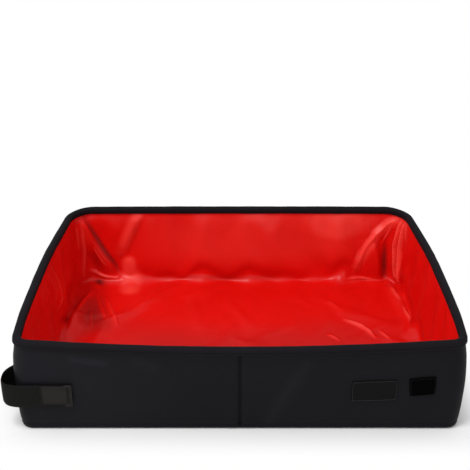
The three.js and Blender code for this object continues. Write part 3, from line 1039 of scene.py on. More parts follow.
def nearest(places, line):
    """How far places lie from a line of points, on which side, and how far along it, from 0 to 1."""
    line = np.array(line) / 1000
    steps = np.diff(line, axis=0)
    lengths = np.linalg.norm(steps, axis=1)
    gone = np.concatenate([[0], np.cumsum(lengths)]) / lengths.sum()
    best = np.full(len(places), np.inf)
    side, along = np.zeros(len(places)), np.zeros(len(places))
    for n, step in enumerate(steps):
        offset = places - line[n]
        share = np.clip(offset @ step / (step @ step), 0, 1)
        away = np.linalg.norm(offset - share[:, None] * step, axis=1)
        closer = away < best
        best = np.where(closer, away, best)
        side = np.where(closer, step[0] * offset[:, 1] - step[1] * offset[:, 0], side)
        along = np.where(closer, gone[n] + share * (gone[n + 1] - gone[n]), along)
    return best, side, along


# Over what distance a fold on the wall gives way to one on the floor, under what depth of tape a fold starts
# and how fast it grows, how near the front the walls' folds end, and how high the floor's folds reach
MEETING_WIDTH = 0.006
TAPE_COVERS, TAPE_FREES = 0.007, 0.008
FRONT_CLEAR = 0.02
FLOOR_FOLDS_REACH = 0.03


def pressed_folds(points):
    """What the photograph's folds do to the settled lining.

    Returns how far it stands out, how near a sharp fold is, how much highlight, above 0, and shade, below 0,
    are painted on it, and how far the folds across its foot bridge it.
    """
    charts = {"wall": unrolled(points), "floor": points[:, :2]}
    up = points[:, 2] - FLOOR_TOP
    out = np.minimum(HALF_LENGTH - np.abs(points[:, 0]), HALF_DEPTH - points[:, 1]) - WALL_THICKNESS
    on_floor = np.clip((out - up) / MEETING_WIDTH + 0.5, 0, 1)
    charts["foot"] = np.column_stack([points[:, 0], up - out])
    weights = {
        "wall": (1 - on_floor) * (points[:, 1] > FRONT_CLEAR - HALF_DEPTH),
        "floor": on_floor * (up < FLOOR_FOLDS_REACH),
        "foot": 1.0 * (points[:, 1] > 0),
    }
    bridge = np.zeros(len(points))
    below_tape = np.clip((RIM_TOP - TAPE_COVERS - points[:, 2]) / TAPE_FREES, 0, 1)
    rises, nearness = np.zeros(len(points)), np.full(len(points), np.inf)
    pale, dark = np.zeros(len(points)), np.zeros(len(points))
    for chart, line, rise, left, right, sharp, stress in LINING_FOLDS:
        away, side, along = nearest(charts[chart], line)
        reach = np.where(side > 0, left, right) / 1000
        share = np.clip(1 - away / reach, 0, 1) if sharp else smooth(1 - away / reach)
        ends = np.sin(math.pi * np.clip(along, 0.04, 0.96)) ** 0.6 if chart != "foot" else 1.0
        share = share * ends * weights[chart]
        if chart == "foot":
            bridge = np.maximum(bridge, share * rise / 1000)
        else:
            rises = np.maximum(rises, share * below_tape * rise / 1000)
        if stress > 0:
            pale = np.maximum(pale, np.minimum(1.7 * share, 1) * stress)
        else:
            dark = np.maximum(dark, -share * stress)
        if sharp:
            nearness = np.minimum(nearness, np.where(weights[chart] > 0, away - reach, np.inf))
    return rises, nearness, pale - dark, bridge


# How far up the wall and out on the floor the lining leaves their meeting line, by how much on it, and how
# unevenly, with the size of that unevenness
FOOT_REACH = 0.026
FOOT_BRIDGE = 0.0052
FOOT_UNEVEN, FOOT_SPAN = 0.9, 0.030


def bridged(points, bridge):
    """How far the lining moves to span the line between a wall and the floor in a soft, uneven bend."""
    uneven = np.array([1 + FOOT_UNEVEN * noise.noise(Vector(point) / FOOT_SPAN) for point in points])
    up = np.maximum(points[:, 2] - FLOOR_TOP, 0)
    low = FOOT_BRIDGE * uneven * np.clip(1 - up / FOOT_REACH, 0, 1) ** 2
    moves = np.zeros((len(points), 3))
    nearby = np.full(len(points), np.inf)
    for axis, half in ((0, HALF_LENGTH), (1, HALF_DEPTH)):
        out = np.maximum(half - WALL_THICKNESS - np.abs(points[:, axis]), 0)
        span = np.maximum(low, bridge if axis else 0)
        moves[:, axis] = np.sign(points[:, axis]) * (out - np.hypot(out, span))
        nearby = np.minimum(nearby, out)
    close = FOOT_BRIDGE * uneven * np.clip(1 - nearby / FOOT_REACH, 0, 1) ** 2
    moves[:, 2] = np.hypot(up, np.maximum(close, bridge)) - up
    return moves


def refined(mesh, chosen):
    """A mesh with the faces that touch the chosen vertices split in four."""
    shape = opened(mesh)
    faces = {face for n in np.flatnonzero(chosen) for face in shape.verts[n].link_faces}
    edges = {edge for face in faces for edge in face.edges}
    bmesh.ops.subdivide_edges(shape, edges=list(edges), cuts=1, use_grid_fill=True)
    return finished(shape, mesh.name)


# Lining: a loose sheet that settles in the tray

# Rows of the lining that are held under the tape, and how near a sharp fold its mesh is split finer
PINNED_ROWS = 2
SHARP_REACH = 0.0025
# The size and height of the swells that start the lining's folds off, and how far it stands off before
CRUMPLES = ((0.090, 0.0050), (0.045, 0.0020))
START_GAP = 0.0006
# How far below the rim the lining starts, its tightest corner, its round foot, how unevenly full that is,
# and where and over what depth it gets even towards the front
LINING_TUCK = 0.004
LINING_CORNER = 0.007
FILLET = 0.012
FULLNESS, FULLNESS_SPAN = 1.3, 0.028
EVEN_FRONT, EVEN_FADE = 0.09, 0.05
# The tightest corner of what the lining settles in
FORM_CORNER = 0.004


def lining_rows(across, along):
    """Rows of the lining from under the binding down the walls and round, unevenly, into the floor."""
    levels, bends = 20, 4
    wall, _ = ring(WALL_THICKNESS, across, along, least_radius=LINING_CORNER)
    fullness = np.array([1 + FULLNESS * noise.noise(Vector((x, y, 0)) / FULLNESS_SPAN) for x, y in wall])
    fullness = 1 + (fullness - 1) * np.clip((wall[:, 1] + EVEN_FRONT) / EVEN_FADE, 0, 1)
    foot = FLOOR_TOP + FILLET * fullness
    top = RIM_TOP - LINING_TUCK
    rows = [(wall, top + (foot - top) * level / (levels - 1)) for level in range(levels)]
    for bend in range(1, bends + 1):
        angle = math.pi / 2 * bend / bends
        depth = WALL_THICKNESS + FILLET * (1 - math.cos(angle))
        inner, _ = ring(depth, across, along, least_radius=LINING_CORNER)
        places = wall + (inner - wall) * fullness[:, None]
        rows.append((places, foot - FILLET * fullness * math.sin(angle)))
    return rows


def inside_walls(points, sizes):
    """The places of points once none of them lies in the boards, behind the walls' inner faces."""
    shift = lean(points, sizes) - points
    points = points - shift
    half = np.array([HALF_LENGTH, HALF_DEPTH]) - WALL_THICKNESS
    radius = np.where(points[:, 1] < 0, FRONT_RADIUS, BACK_RADIUS) - WALL_THICKNESS
    beyond = np.abs(points[:, :2]) - (half - radius[:, None])
    in_corner = (beyond > 0).all(axis=1)
    reach = np.linalg.norm(np.where(beyond > 0, beyond, 0), axis=1)
    drawn_in = np.where(in_corner & (reach > radius), radius / np.maximum(reach, 1e-9), 1)
    signs = np.sign(points[:, :2])
    cornered = signs * (half - radius[:, None] + beyond * drawn_in[:, None])
    points[:, :2] = np.where(in_corner[:, None], cornered, np.clip(points[:, :2], -half, half))
    points[:, 2] = np.maximum(points[:, 2], FLOOR_TOP)
    return points + shift


def crumple(points, seed):
    """Uneven rises, in metres, that start the folds off before the lining settles."""
    rises = np.zeros(len(points))
    for size, height in CRUMPLES:
        for n, point in enumerate(points):
            rises[n] += height * noise.noise(Vector(point) / size + Vector((seed, 0, size)))
    return rises


def settle(piece, pinned, sizes):
    """Lets the lining sink and crumple inside the tray with Blender's Cloth, and keeps the result."""
    scene = bpy.context.scene
    scale = 10.0
    mesh = piece.data
    mesh.transform(Matrix.Diagonal((scale, scale, scale, 1)))
    pins = piece.vertex_groups.new(name="Rim")
    pins.add(list(range(pinned)), 1.0, "REPLACE")

    box = tray_shell(form_rows(*FORM_STEPS), *FORM_STEPS, inward=True)
    form = show(finished(box, "settling_form"), "settling_form")
    move_to(form.data, lean(positions(form.data), sizes) * scale)
    form.modifiers.new("Collision", "COLLISION")
    form.collision.thickness_outer = 0.004
    form.collision.thickness_inner = 0.2
    form.collision.cloth_friction = 12
    form.collision.use_culling = True

    modifier = piece.modifiers.new("Cloth", "CLOTH")
    cloth = modifier.settings
    cloth.quality = 7
    cloth.mass = 0.2
    cloth.tension_stiffness = cloth.compression_stiffness = 20
    cloth.shear_stiffness = 12
    cloth.bending_stiffness = 5
    cloth.air_damping = 2
    cloth.shrink_min = -sizes.slack
    cloth.vertex_group_mass = pins.name
    modifier.collision_settings.distance_min = 0.004
    modifier.collision_settings.collision_quality = 2
    modifier.point_cache.frame_start = 1
    modifier.point_cache.frame_end = sizes.settling_steps
    for step in range(1, sizes.settling_steps + 1):
        scene.frame_set(step)
    view = bpy.context.evaluated_depsgraph_get()
    settled = positions(piece.evaluated_get(view).data)
    scene.frame_set(1)
    piece.modifiers.clear()
    piece.vertex_groups.clear()
    bpy.data.objects.remove(form)
    move_to(mesh, settled / scale)
    shape = opened(mesh)
    loose = shape.verts[pinned:]
    for _ in range(6):
        bmesh.ops.smooth_vert(
            shape, verts=loose, factor=0.5, use_axis_x=True, use_axis_y=True, use_axis_z=True
        )
    shape.to_mesh(mesh)
    shape.free()


def form_rows(across, along):
    """Rows of the hollow that the lining settles in."""
    heights = [RIM_TOP + 0.02, RIM_TOP, 0.07, 0.04, FLOOR_TOP, FLOOR_TOP]
    depths = [WALL_THICKNESS] * 5 + [WALL_THICKNESS + FORM_CORNER]
    rows = []
    for depth, height in zip(depths, heights, strict=True):
        places, _ = ring(depth, across, along, least_radius=FORM_CORNER)
        rows.append((places, np.full(len(places), height)))
    return rows


# Rows of stitches


def repeat_tree(name, source, inputs, result, material):
    """Geometry nodes that lay a small shape at points: the tree, its input node and the node that lays.

    What is laid is made real and given its material, because only plain meshes are kept.
    """
    inputs = [(source, "NodeSocketGeometry", None), *inputs]
    tree, start, end = new_group(name, "GeometryNodeTree", inputs, [(result, "NodeSocketGeometry")])
    lay = add(tree, "GeometryNodeInstanceOnPoints")
    real = add(tree, "GeometryNodeRealizeInstances")
    finish = add(tree, "GeometryNodeSetMaterial")
    set_inputs(finish, {"Material": material})
    connect(
        tree,
        (lay, "Instances", real, "Geometry"),
        (real, "Geometry", finish, "Geometry"),
        (finish, "Geometry", end, result),
    )
    return tree, start, lay


def stitch_tree(material):
    """Geometry nodes that lay one stitch at every pitch along a line."""
    inputs = [
        ("Pitch", "NodeSocketFloat", 0.0035),
        ("Length", "NodeSocketFloat", 0.0025),
        ("Radius", "NodeSocketFloat", 0.00028),
    ]
    tree, start, lay = repeat_tree("Stitch run", "Line", inputs, "Stitches", material)
    line = add(tree, "GeometryNodeMeshToCurve")
    points = add(tree, "GeometryNodeCurveToPoints", mode="LENGTH")
    bead = add(tree, "GeometryNodeMeshUVSphere")
    set_inputs(bead, {"Segments": 6, "Rings": 5, "Radius": 1.0})
    shape = add(tree, "ShaderNodeCombineXYZ")
    form = add(tree, "GeometryNodeTransform")
    tree.links.new(maths(tree, "DIVIDE", start.outputs["Length"], 2), shape.inputs["Z"])
    connect(
        tree,
        (start, "Line", line, "Mesh"),
        (line, "Curve", points, "Curve"),
        (start, "Pitch", points, "Length"),
        (start, "Radius", shape, "X"),
        (start, "Radius", shape, "Y"),
        (bead, "Mesh", form, "Geometry"),
        (shape, "Vector", form, "Scale"),
        (points, "Points", lay, "Points"),
        (points, "Rotation", lay, "Rotation"),
        (form, "Geometry", lay, "Instance"),
    )
    return tree


def grown(guide, name, tree, **values):
    """What geometry nodes make from a guide mesh, as one plain mesh piece."""
    carrier = show(guide, f"{name}_guide")
    modifier = carrier.modifiers.new(tree.name, "NODES")
    modifier.node_group = tree
    for item in tree.interface.items_tree:
        if item.in_out == "INPUT" and item.name in values:
            modifier[item.identifier] = values[item.name]
    view = bpy.context.evaluated_depsgraph_get()
    mesh = bpy.data.meshes.new_from_object(carrier.evaluated_get(view))
    bpy.data.objects.remove(carrier)
    mesh.name = name
    return show(mesh, name)


def sew(name, lines, tree, **values):
    """Stitches along lines of points."""
    points, edges = [], []
    for line in lines:
        first = len(points)
        points.extend(tuple(point) for point in line)
        edges.extend((first + n, first + n + 1) for n in range(len(line) - 1))
    guide = bpy.data.meshes.new(f"{name}_guide")
    guide.from_pydata(points, edges, [])
    piece = grown(guide, name, tree, **values)
    piece.data.shade_smooth()
    return piece


# Handle, patches and boards

WEBBING_PLY = 0.0013
# How far back from the front the handle is sewn to the end, and how much higher than its solid it lies
HANDLE_REACH = 0.050
HANDLE_LIFT = 0.0022
# Where the doubled end starts and ends, from the left face, and how much narrower it is below
HANDLE_TAB = (0.0215, 0.0430)
TAB_RISE = 0.0032
# Where the strap ends on the front and where it leaves it, from the left face
HANDLE_END = 0.0470
HANDLE_LEAVES = 0.0185
# How far the strap swells forward as it leaves, and outward past its solid
HANDLE_SWELL = 0.003
HANDLE_BULGE = -0.0030
# Where, as shares of its reach, the bow is fullest, closes again and lands on the end
BOW_PLACE = 0.34
BOW_FULLNESS = 0.6
LANDING = 0.86
# How far the strap sags between its sewn ends, and the steps of its doubled end
HANDLE_DROOP = 0.0008
TAB_STEPS = 16
# How much paler the doubled end and the strap's own end under the zigzag are
TAB_PALE, END_PALE = 0.42, 0.9


def bezier(a, b, c, d, steps):
    """Places along a cubic curve, without its last one."""
    t = np.linspace(0, 1, steps, endpoint=False)[:, None]
    return a * (1 - t) ** 3 + 3 * b * t * (1 - t) ** 2 + 3 * c * t**2 * (1 - t) + d * t**3


def handle_line():
    """The webbing's middle line in plan: sewn on the front, bowed round the corner, sewn to the end."""
    low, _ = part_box("webbing_handle")
    front = low.y + WEBBING_PLY / 2
    end = -HALF_LENGTH - (-HALF_DEPTH - front)
    bow = low.x + WEBBING_PLY / 2 - HANDLE_BULGE
    near = np.array([HANDLE_END - HALF_LENGTH, front])
    leaving = np.array([HANDLE_LEAVES - HALF_LENGTH, front])
    full = np.array([bow, front + HANDLE_REACH * BOW_PLACE])
    landing = np.array([end, front + HANDLE_REACH * LANDING])
    far = np.array([end, front + HANDLE_REACH])
    sewn = near + (leaving - near) * np.linspace(0, 1, 12, endpoint=False)[:, None]
    swelling = np.array([end - (end - bow) * 0.35, front - HANDLE_SWELL])
    turning = np.array([bow, front + HANDLE_REACH * 0.08])
    out = bezier(leaving, swelling, turning, full, 34)
    falling = np.array([bow, front + HANDLE_REACH * BOW_FULLNESS])
    closing = np.array([end, front + HANDLE_REACH * BOW_FULLNESS])
    back = bezier(full, falling, closing, landing, 24)
    last = landing + (far - landing) * np.linspace(0, 1, 6)[:, None]
    return np.concatenate([sewn, out, back, last])


def webbing(line, low, high, name, droop=0.0):
    """Flat woven webbing on edge along a line in plan, with rounded selvedges."""
    count = len(line)
    heading = np.gradient(line, axis=0)
    heading /= np.linalg.norm(heading, axis=1)[:, None]
    across = np.column_stack([-heading[:, 1], heading[:, 0]])
    ribs = 14
    section = []
    for n in range(ribs + 1):
        share = n / ribs
        edge = math.sqrt(max(1 - max(abs(2 * share - 1) - 0.9, 0) ** 2 / 0.01, 0)) * 0.5
        section.append((share, edge))
    section += [(share, -edge) for share, edge in section[-2:0:-1]]
    size = len(section)
    gone = np.concatenate([[0], np.cumsum(np.linalg.norm(np.diff(line, axis=0), axis=1))])
    vertices, marks = [], []
    for n in range(count):
        drop = droop * math.sin(math.pi * gone[n] / gone[-1])
        for share, edge in section:
            x, y = line[n] + across[n] * edge * WEBBING_PLY
            vertices.append((x, y, low + (high - low) * share - drop))
            marks.append((gone[n], share * (high - low)))
    faces = []
    for n in range(count - 1):
        for k in range(size):
            m = (k + 1) % size
            faces.append((n * size + k, n * size + m, (n + 1) * size + m, (n + 1) * size + k))
    faces.append(tuple(reversed(range(size))))
    faces.append(tuple((count - 1) * size + k for k in range(size)))
    mesh = bpy.data.meshes.new(name)
    mesh.from_pydata(vertices, [], faces)
    layer = mesh.uv_layers.new(name="UVMap")
    for loop, item in zip(mesh.loops, layer.data, strict=True):
        item.uv = marks[loop.vertex_index]
    face_outwards(mesh)
    for polygon in mesh.polygons:
        polygon.use_smooth = len(polygon.vertices) == 4
    return mesh


def face_outwards(mesh):
    """Recalculates a closed mesh's normals so that they point out of it."""
    shape = opened(mesh)
    bmesh.ops.recalc_face_normals(shape, faces=shape.faces)
    shape.to_mesh(mesh)
    shape.free()


# Colours of the patches and of the thread, which nobody sets in the panel
PILE_COLOUR = (0.0014, 0.0014, 0.0015)
LABEL_COLOUR = (0.0036, 0.0036, 0.0040)
THREAD_COLOUR = (0.0052, 0.0048, 0.0056)
LABEL_THREAD_COLOUR = (0.030, 0.030, 0.031)

# Where the sewn patches lie against their solids: shift to the right, spare width, lift, tilt as a rise
# over the width, and how much narrower the lower left corner is
PATCHES = {
    "hook_loop_pad": (0.0022, -0.0020, 0.0016, 0.0020, 0.0022),
    "bare_label": (0.0036, 0.0010, 0.0016, 0.0012, 0.0),
}


def patch_places(node, inset, cells):
    """Places over a patch's front: a grid with rounded corners, `inset` in from its edges."""
    shift, spare, lift, tilt, skew = PATCHES[node]
    low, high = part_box(node)
    middle, half = (low + high) / 2, (high - low) / 2
    columns, rows = cells
    grid = np.zeros((rows + 1, columns + 1, 3))
    for j in range(rows + 1):
        for i in range(columns + 1):
            u, v = 2 * i / columns - 1, 2 * j / rows - 1
            x = u * math.sqrt(1 - 0.06 * v * v) * (half.x + spare / 2 - inset)
            z = v * math.sqrt(1 - 0.06 * u * u) * (half.z - inset) + tilt * u / 2
            x += skew * (1 - v) * (1 - u) / 4
            grid[j, i] = (middle.x + shift + x, high.y, middle.z + lift + z)
    return grid, high.y - low.y


def patch(node, name, cells, crown):
    """A sewn patch in the place of a node: rounded edges and its own UV map."""
    grid, ply = patch_places(node, inset=0, cells=cells)
    columns, rows = cells
    shape = bmesh.new()
    uv = shape.loops.layers.uv.new("UVMap")
    corners = {}
    for side in (0, 1):
        for j in range(rows + 1):
            for i in range(columns + 1):
                x, y, z = grid[j, i]
                edge = min(np.linalg.norm(grid[j, i] - grid[j, k]) for k in (0, columns))
                edge = min(edge, *(np.linalg.norm(grid[j, i] - grid[k, i]) for k in (0, rows)))
                rise = min(edge / crown, 1)
                lift = ply * (0.35 + 0.65 * math.sqrt(1 - (1 - rise) ** 2))
                corners[side, i, j] = shape.verts.new((x, y if side else y - lift, z))

    def quad(*keys):
        """A smooth face between the corners of these keys."""
        face = shape.faces.new([corners[key] for key in keys])
        face.smooth = True
        for loop in face.loops:
            loop[uv].uv = (loop.vert.co.x, loop.vert.co.z)

    for side in (0, 1):
        for j in range(rows):
            for i in range(columns):
                quad((side, i, j), (side, i + 1, j), (side, i + 1, j + 1), (side, i, j + 1))
    for i in range(columns):
        for j in (0, rows):
            quad((0, i, j), (0, i + 1, j), (1, i + 1, j), (1, i, j))
    for j in range(rows):
        for i in (0, columns):
            quad((0, i, j), (0, i, j + 1), (1, i, j + 1), (1, i, j))
    bmesh.ops.recalc_face_normals(shape, faces=shape.faces)
    return finished(shape, name)


def frame_line(node, inset):
    """A closed line of sewing round a patch, that far in from its edge."""
    grid, ply = patch_places(node, inset, cells=(10, 6))
    line = np.concatenate([grid[0], grid[1:, -1], grid[-1, -2::-1], grid[-2::-1, 0]])
    line[:, 1] -= ply + THREAD_PROUD
    return line


def hook_tree(material):
    """Geometry nodes that stand short hooks all over a face."""
    inputs = [
        ("Density", "NodeSocketFloat", 1.6e6),
        ("Height", "NodeSocketFloat", 0.0009),
        ("Radius", "NodeSocketFloat", 0.00014),
        ("Seed", "NodeSocketInt", 7),
    ]
    tree, start, lay = repeat_tree("Hook pile", "Face", inputs, "Hooks", material)
    scatter = add(tree, "GeometryNodeDistributePointsOnFaces")
    hook = add(tree, "GeometryNodeMeshCylinder")
    set_inputs(hook, {"Vertices": 5})
    tilt = add(tree, "FunctionNodeRandomValue", data_type="FLOAT_VECTOR")
    set_inputs(tilt, {"Min": (-0.5, -0.5, 0), "Max": (0.5, 0.5, 6.28)})
    turned = add(tree, "FunctionNodeRotateRotation", rotation_space="LOCAL")
    connect(
        tree,
        (start, "Face", scatter, "Mesh"),
        (start, "Density", scatter, "Density"),
        (start, "Seed", scatter, "Seed"),
        (start, "Seed", tilt, "Seed"),
        (start, "Radius", hook, "Radius"),
        (start, "Height", hook, "Depth"),
        (scatter, "Points", lay, "Points"),
        (scatter, "Rotation", turned, "Rotation"),
        (tilt, "Value", turned, "Rotate By"),
        (turned, "Rotation", lay, "Rotation"),
        (hook, "Mesh", lay, "Instance"),
    )
    return tree


# The distance between the cuts across a board
BOARD_STEP = 0.01


def bent_copy(node, name):
    """A copy of a rigid node, cut finely enough to bow with its wall."""
    shape = opened(frame["nodes"][node].data)
    bmesh.ops.remove_doubles(shape, verts=shape.verts, dist=SAME_POINT)
    low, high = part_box(node)
    for axis in range(3):
        if high[axis] - low[axis] > BOARD_STEP:
            count = max(int((high[axis] - low[axis]) / BOARD_STEP), 1)
            for n in range(1, count):
                place, across = Vector(), Vector()
                place[axis] = low[axis] + (high[axis] - low[axis]) * n / count
                across[axis] = 1
                geometry = list(shape.verts) + list(shape.edges) + list(shape.faces)
                bmesh.ops.bisect_plane(
                    shape, geom=geometry, dist=SAME_POINT, plane_co=place, plane_no=across
                )
    return finished(shape, name)


# Operators, one for each piece or group of like pieces


class LitterOperator:
    """What the tray's operators share."""

    bl_options = {"REGISTER", "UNDO"}

    def sizes(self, context):
        """The sizes set in the panel."""
        return context.scene.tray_sizes

    def colours(self, context):
        """The colours set in the panel."""
        return context.scene.tray_colours


class TRAY_OT_cover(LitterOperator, Operator):
    """Makes the outer cover, from the rim down and under the tray"""

    bl_idname = "tray.cover"
    bl_label = "Outer cover"

    def execute(self, context):
        sizes, colours = self.sizes(context), self.colours(context)
        shell = tray_shell(cover_rows(*COVER_STEPS), *COVER_STEPS, inward=False)
        cloth = finished(shell, "cover_cloth")
        points = positions(cloth)
        outward = directions(cloth)
        rise = np.array([cover_rise(*point) for point in points])
        points = lean(points + outward * rise[:, None], sizes)
        points[:, 2] = np.maximum(points[:, 2], 0)
        # Painted sheen and painted shade for the cover's colour
        stress = cover_painted_light(positions(cloth))
        move_to(cloth, points)
        set_tone_and_painted_light(cloth, stress)
        pieces = cloth_pieces(cloth, "cover", sizes.cover_ply, COVER_HEEL)
        stands_for = solids_of("cover", ("side_band", "bottom_cover"), "gusset", "gusset", "spine_cover")
        material = woven_material(
            "Coated cover cloth",
            colours.cover,
            pitch=0.0011,
            depth=0.00012,
            roughness=0.5,
            gloss=0.06,
            clouds=0.5,
        )
        dress(pieces, stands_for, material, level=0.0005, held="stretched")
        return {"FINISHED"}


class TRAY_OT_lining(LitterOperator, Operator):
    """Makes the loose lining and lets it settle inside the tray"""

    bl_idname = "tray.lining"
    bl_label = "Loose lining"

    def execute(self, context):
        sizes, colours = self.sizes(context), self.colours(context)
        count = 2 * sum(LINING_STEPS)
        shell = tray_shell(lining_rows(*LINING_STEPS), *LINING_STEPS, inward=True)
        cloth = finished(shell, "lining_cloth")
        points = lean(positions(cloth), sizes)
        move_to(cloth, points)
        rises = START_GAP + np.abs(crumple(points, seed=3.0))
        rises[: PINNED_ROWS * count] = 0.0
        move_to(cloth, points + directions(cloth) * rises[:, None])
        piece = show(cloth, "lining_cloth")
        settle(piece, PINNED_ROWS * count, sizes)
        rounding = piece.modifiers.new("Smooth", "SUBSURF")
        rounding.levels = rounding.render_levels = 1
        view = bpy.context.evaluated_depsgraph_get()
        fine = bpy.data.meshes.new_from_object(piece.evaluated_get(view))
        bpy.data.objects.remove(piece)
        _, nearness, _, _ = pressed_folds(unleaned(positions(fine), sizes))
        fine = refined(fine, nearness < SHARP_REACH)
        points = positions(fine)
        upright = unleaned(points, sizes)
        rises, _, stress, bridge = pressed_folds(upright)
        moves = directions(fine) * rises[:, None] + bridged(upright, bridge)
        move_to(fine, inside_walls(points + moves, sizes))
        # Painted highlight on the folds and painted shade in pleats and hollows, carried into the lining's
        # colour
        set_tone_and_painted_light(fine, stress)
        pieces = cloth_pieces(fine, "lining", sizes.lining_ply, LINING_HEEL)
        stands_for = solids_of("lining", ("floor_lining",), spine="spine_lining")
        material = lining_material(colours.lining)
        dress(pieces, stands_for, material, FLOOR_TOP, held="draped")
        return {"FINISHED"}


class TRAY_OT_binding(LitterOperator, Operator):
    """Folds the binding tape over the rim"""

    bl_idname = "tray.binding"
    bl_label = "Rim binding"

    def execute(self, context):
        sizes, colours = self.sizes(context), self.colours(context)
        rows = []
        for depth, height in binding_section():
            places, _ = ring(depth, *COVER_STEPS)
            rows.append((places, np.full(len(places), height)))
        cloth = finished(tray_shell(rows, *COVER_STEPS, inward=False, closed=False), "binding_cloth")
        points = positions(cloth)
        outward = directions(cloth)
        rise = np.array([TAPE_RISE * noise.noise(Vector(point) / TAPE_SPAN) for point in points])
        # Painted shade in the stitched groove
        stress = -GROOVE_SHADE * np.exp(-(((points[:, 2] - GROOVE_PLACE) / GROOVE_WIDTH) ** 4))
        move_to(cloth, lean(points + outward * rise[:, None], sizes))
        set_tone_and_painted_light(cloth, stress)
        pieces = cloth_pieces(cloth, "binding", sizes.binding_ply, COVER_HEEL)
        stands_for = solids_of("binding", corner="binding", crease="binding")
        material = woven_material(
            "Binding tape",
            colours.tape,
            pitch=0.0007,
            depth=0.0001,
            roughness=0.7,
            gloss=0.04,
            clouds=0.3,
            sheen=0.01,
        )
        dress(pieces, stands_for, material, TAPE_LEVEL, held="folded")
        return {"FINISHED"}


class TRAY_OT_boards(LitterOperator, Operator):
    """Bends the wall boards with their walls and gives all the boards their grain"""

    bl_idname = "tray.boards"
    bl_label = "Stiffening boards"

    def execute(self, context):
        sizes = self.sizes(context)
        material = board_material(self.colours(context).board)
        for side in SIDES:
            floor_board = frame["nodes"][f"floor_board_{side}"]
            floor_board.data.materials.clear()
            floor_board.data.materials.append(material)
            for wall in (f"end_{side}", f"front_{side}", f"back_{side}"):
                mesh = bent_copy(f"{wall}_board", f"board_{wall}")
                move_to(mesh, lean(positions(mesh), sizes))
                mesh.materials.append(material)
                board = show(mesh, f"board_{wall}")
                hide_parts(f"{wall}_board")
                hang(board, wall, 0)
        return {"FINISHED"}


class TRAY_OT_handle(LitterOperator, Operator):
    """Sews the webbing handle round the front left corner"""

    bl_idname = "tray.handle"
    bl_label = "Webbing handle"

    def execute(self, context):
        sizes, colours = self.sizes(context), self.colours(context)
        low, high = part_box("webbing_handle")
        material = woven_material(
            "Webbing",
            colours.webbing,
            pitch=0.0012,
            depth=0.00025,
            roughness=0.75,
            gloss=0.08,
            clouds=0.25,
            pale_colour=PALE_WEBBING,
        )
        line = handle_line()
        bottom, top = low.z + HANDLE_LIFT, high.z + HANDLE_LIFT
        loop = webbing(line, bottom, top, "handle_loop", droop=HANDLE_DROOP)
        move_to(loop, lean(positions(loop), sizes))
        far = np.linspace(HANDLE_TAB[1], HANDLE_TAB[0], TAB_STEPS) - HALF_LENGTH
        end_line = np.column_stack([far, np.full(TAB_STEPS, line[0][1] - WEBBING_PLY)])
        tab = webbing(end_line, bottom + TAB_RISE, top - TAB_RISE / 3, "handle_tab")
        move_to(tab, lean(positions(tab), sizes))
        for mesh, reach in ((loop, HANDLE_TAB[1]), (tab, HANDLE_TAB[0])):
            doubled = positions(mesh)[:, 0] > reach - HALF_LENGTH - 0.001
            set_tone_and_painted_light(mesh, doubled * (TAB_PALE if mesh is tab else END_PALE))
        for mesh, nodes in ((loop, ["webbing_handle"]), (tab, [])):
            mesh.materials.append(material)
            piece = show(mesh, mesh.name)
            if nodes:
                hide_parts(*nodes)
            sewn_to_front(piece, "left")
            declare_sheet(piece)
        return {"FINISHED"}


class TRAY_OT_patches(LitterOperator, Operator):
    """Sews the hook-and-loop pad and the bare label to the front"""

    bl_idname = "tray.patches"
    bl_label = "Pad and label"

    def execute(self, context):
        sizes = self.sizes(context)
        pile = woven_material(
            "Hook pile", PILE_COLOUR, pitch=0.0006, depth=0.0004, roughness=0.95, gloss=0.02, clouds=0.4
        )
        woven = woven_material(
            "Label cloth", LABEL_COLOUR, pitch=0.0004, depth=0.00006, roughness=0.5, gloss=0.06, clouds=0.15
        )
        for node, slot, material in (
            ("hook_loop_pad", "hook_pile", pile),
            ("bare_label", "label_cloth", woven),
        ):
            mesh = patch(node, f"{node}_piece", cells=(30, 18), crown=0.0012)
            move_to(mesh, lean(positions(mesh), sizes))
            mesh.materials.append(material)
            piece = show(mesh, f"{node}_piece")
            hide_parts(node)
            sewn_to_front(piece, "right")
            declare_sheet(piece)
        grid, ply = patch_places("hook_loop_pad", inset=0.0004, cells=(12, 10))
        grid[..., 1] -= ply
        corners = lean(grid.reshape(-1, 3), sizes)
        width = grid.shape[1]
        faces = [
            (n, n + 1, n + width + 1, n + width)
            for n in range(len(corners) - width)
            if (n + 1) % width
        ]
        face = bpy.data.meshes.new("hook_face")
        face.from_pydata(corners.tolist(), [], faces)
        hooks = grown(face, "hook_loop_pad_hooks", hook_tree(pile))
        sewn_to_front(hooks, "right")
        return {"FINISHED"}


def sewn_to_front(piece, side):
    """Makes a small piece follow the front wall that it is sewn to."""
    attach(piece, f"front_{side}")
    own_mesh(piece)


# Rows of stitches on the tape: how deep in from the tray's face, and how high
RIM_ROWS = (
    ("outer", -0.0003, GROOVE_PLACE),
    ("inner", WALL_THICKNESS + 0.0012, INNER_PLACE + 0.0013),
)
# How far in from their edges the patches are sewn, and how far the thread stands out
PAD_INSET, LABEL_INSET = 0.0011, 0.0009
THREAD_PROUD = 0.0001
# Stitches on the handle and round the patches
HANDLE_STITCH = {"Pitch": 0.0018, "Length": 0.0018, "Radius": 0.00034}
PATCH_STITCH = {"Pitch": 0.0022, "Length": 0.0019, "Radius": 0.00024}
# How far in the box of sewing lies from the doubled end's long edges and from its short ones, how far the
# zigzag reaches past the doubled end and the strap's end, and how far it stays from the strap's edges
LONG_INSET, SHORT_INSET = 0.0016, 0.001
PAST_TAB, PAST_END = 0.0006, 0.0008
ZIGZAG_INSET = 0.001


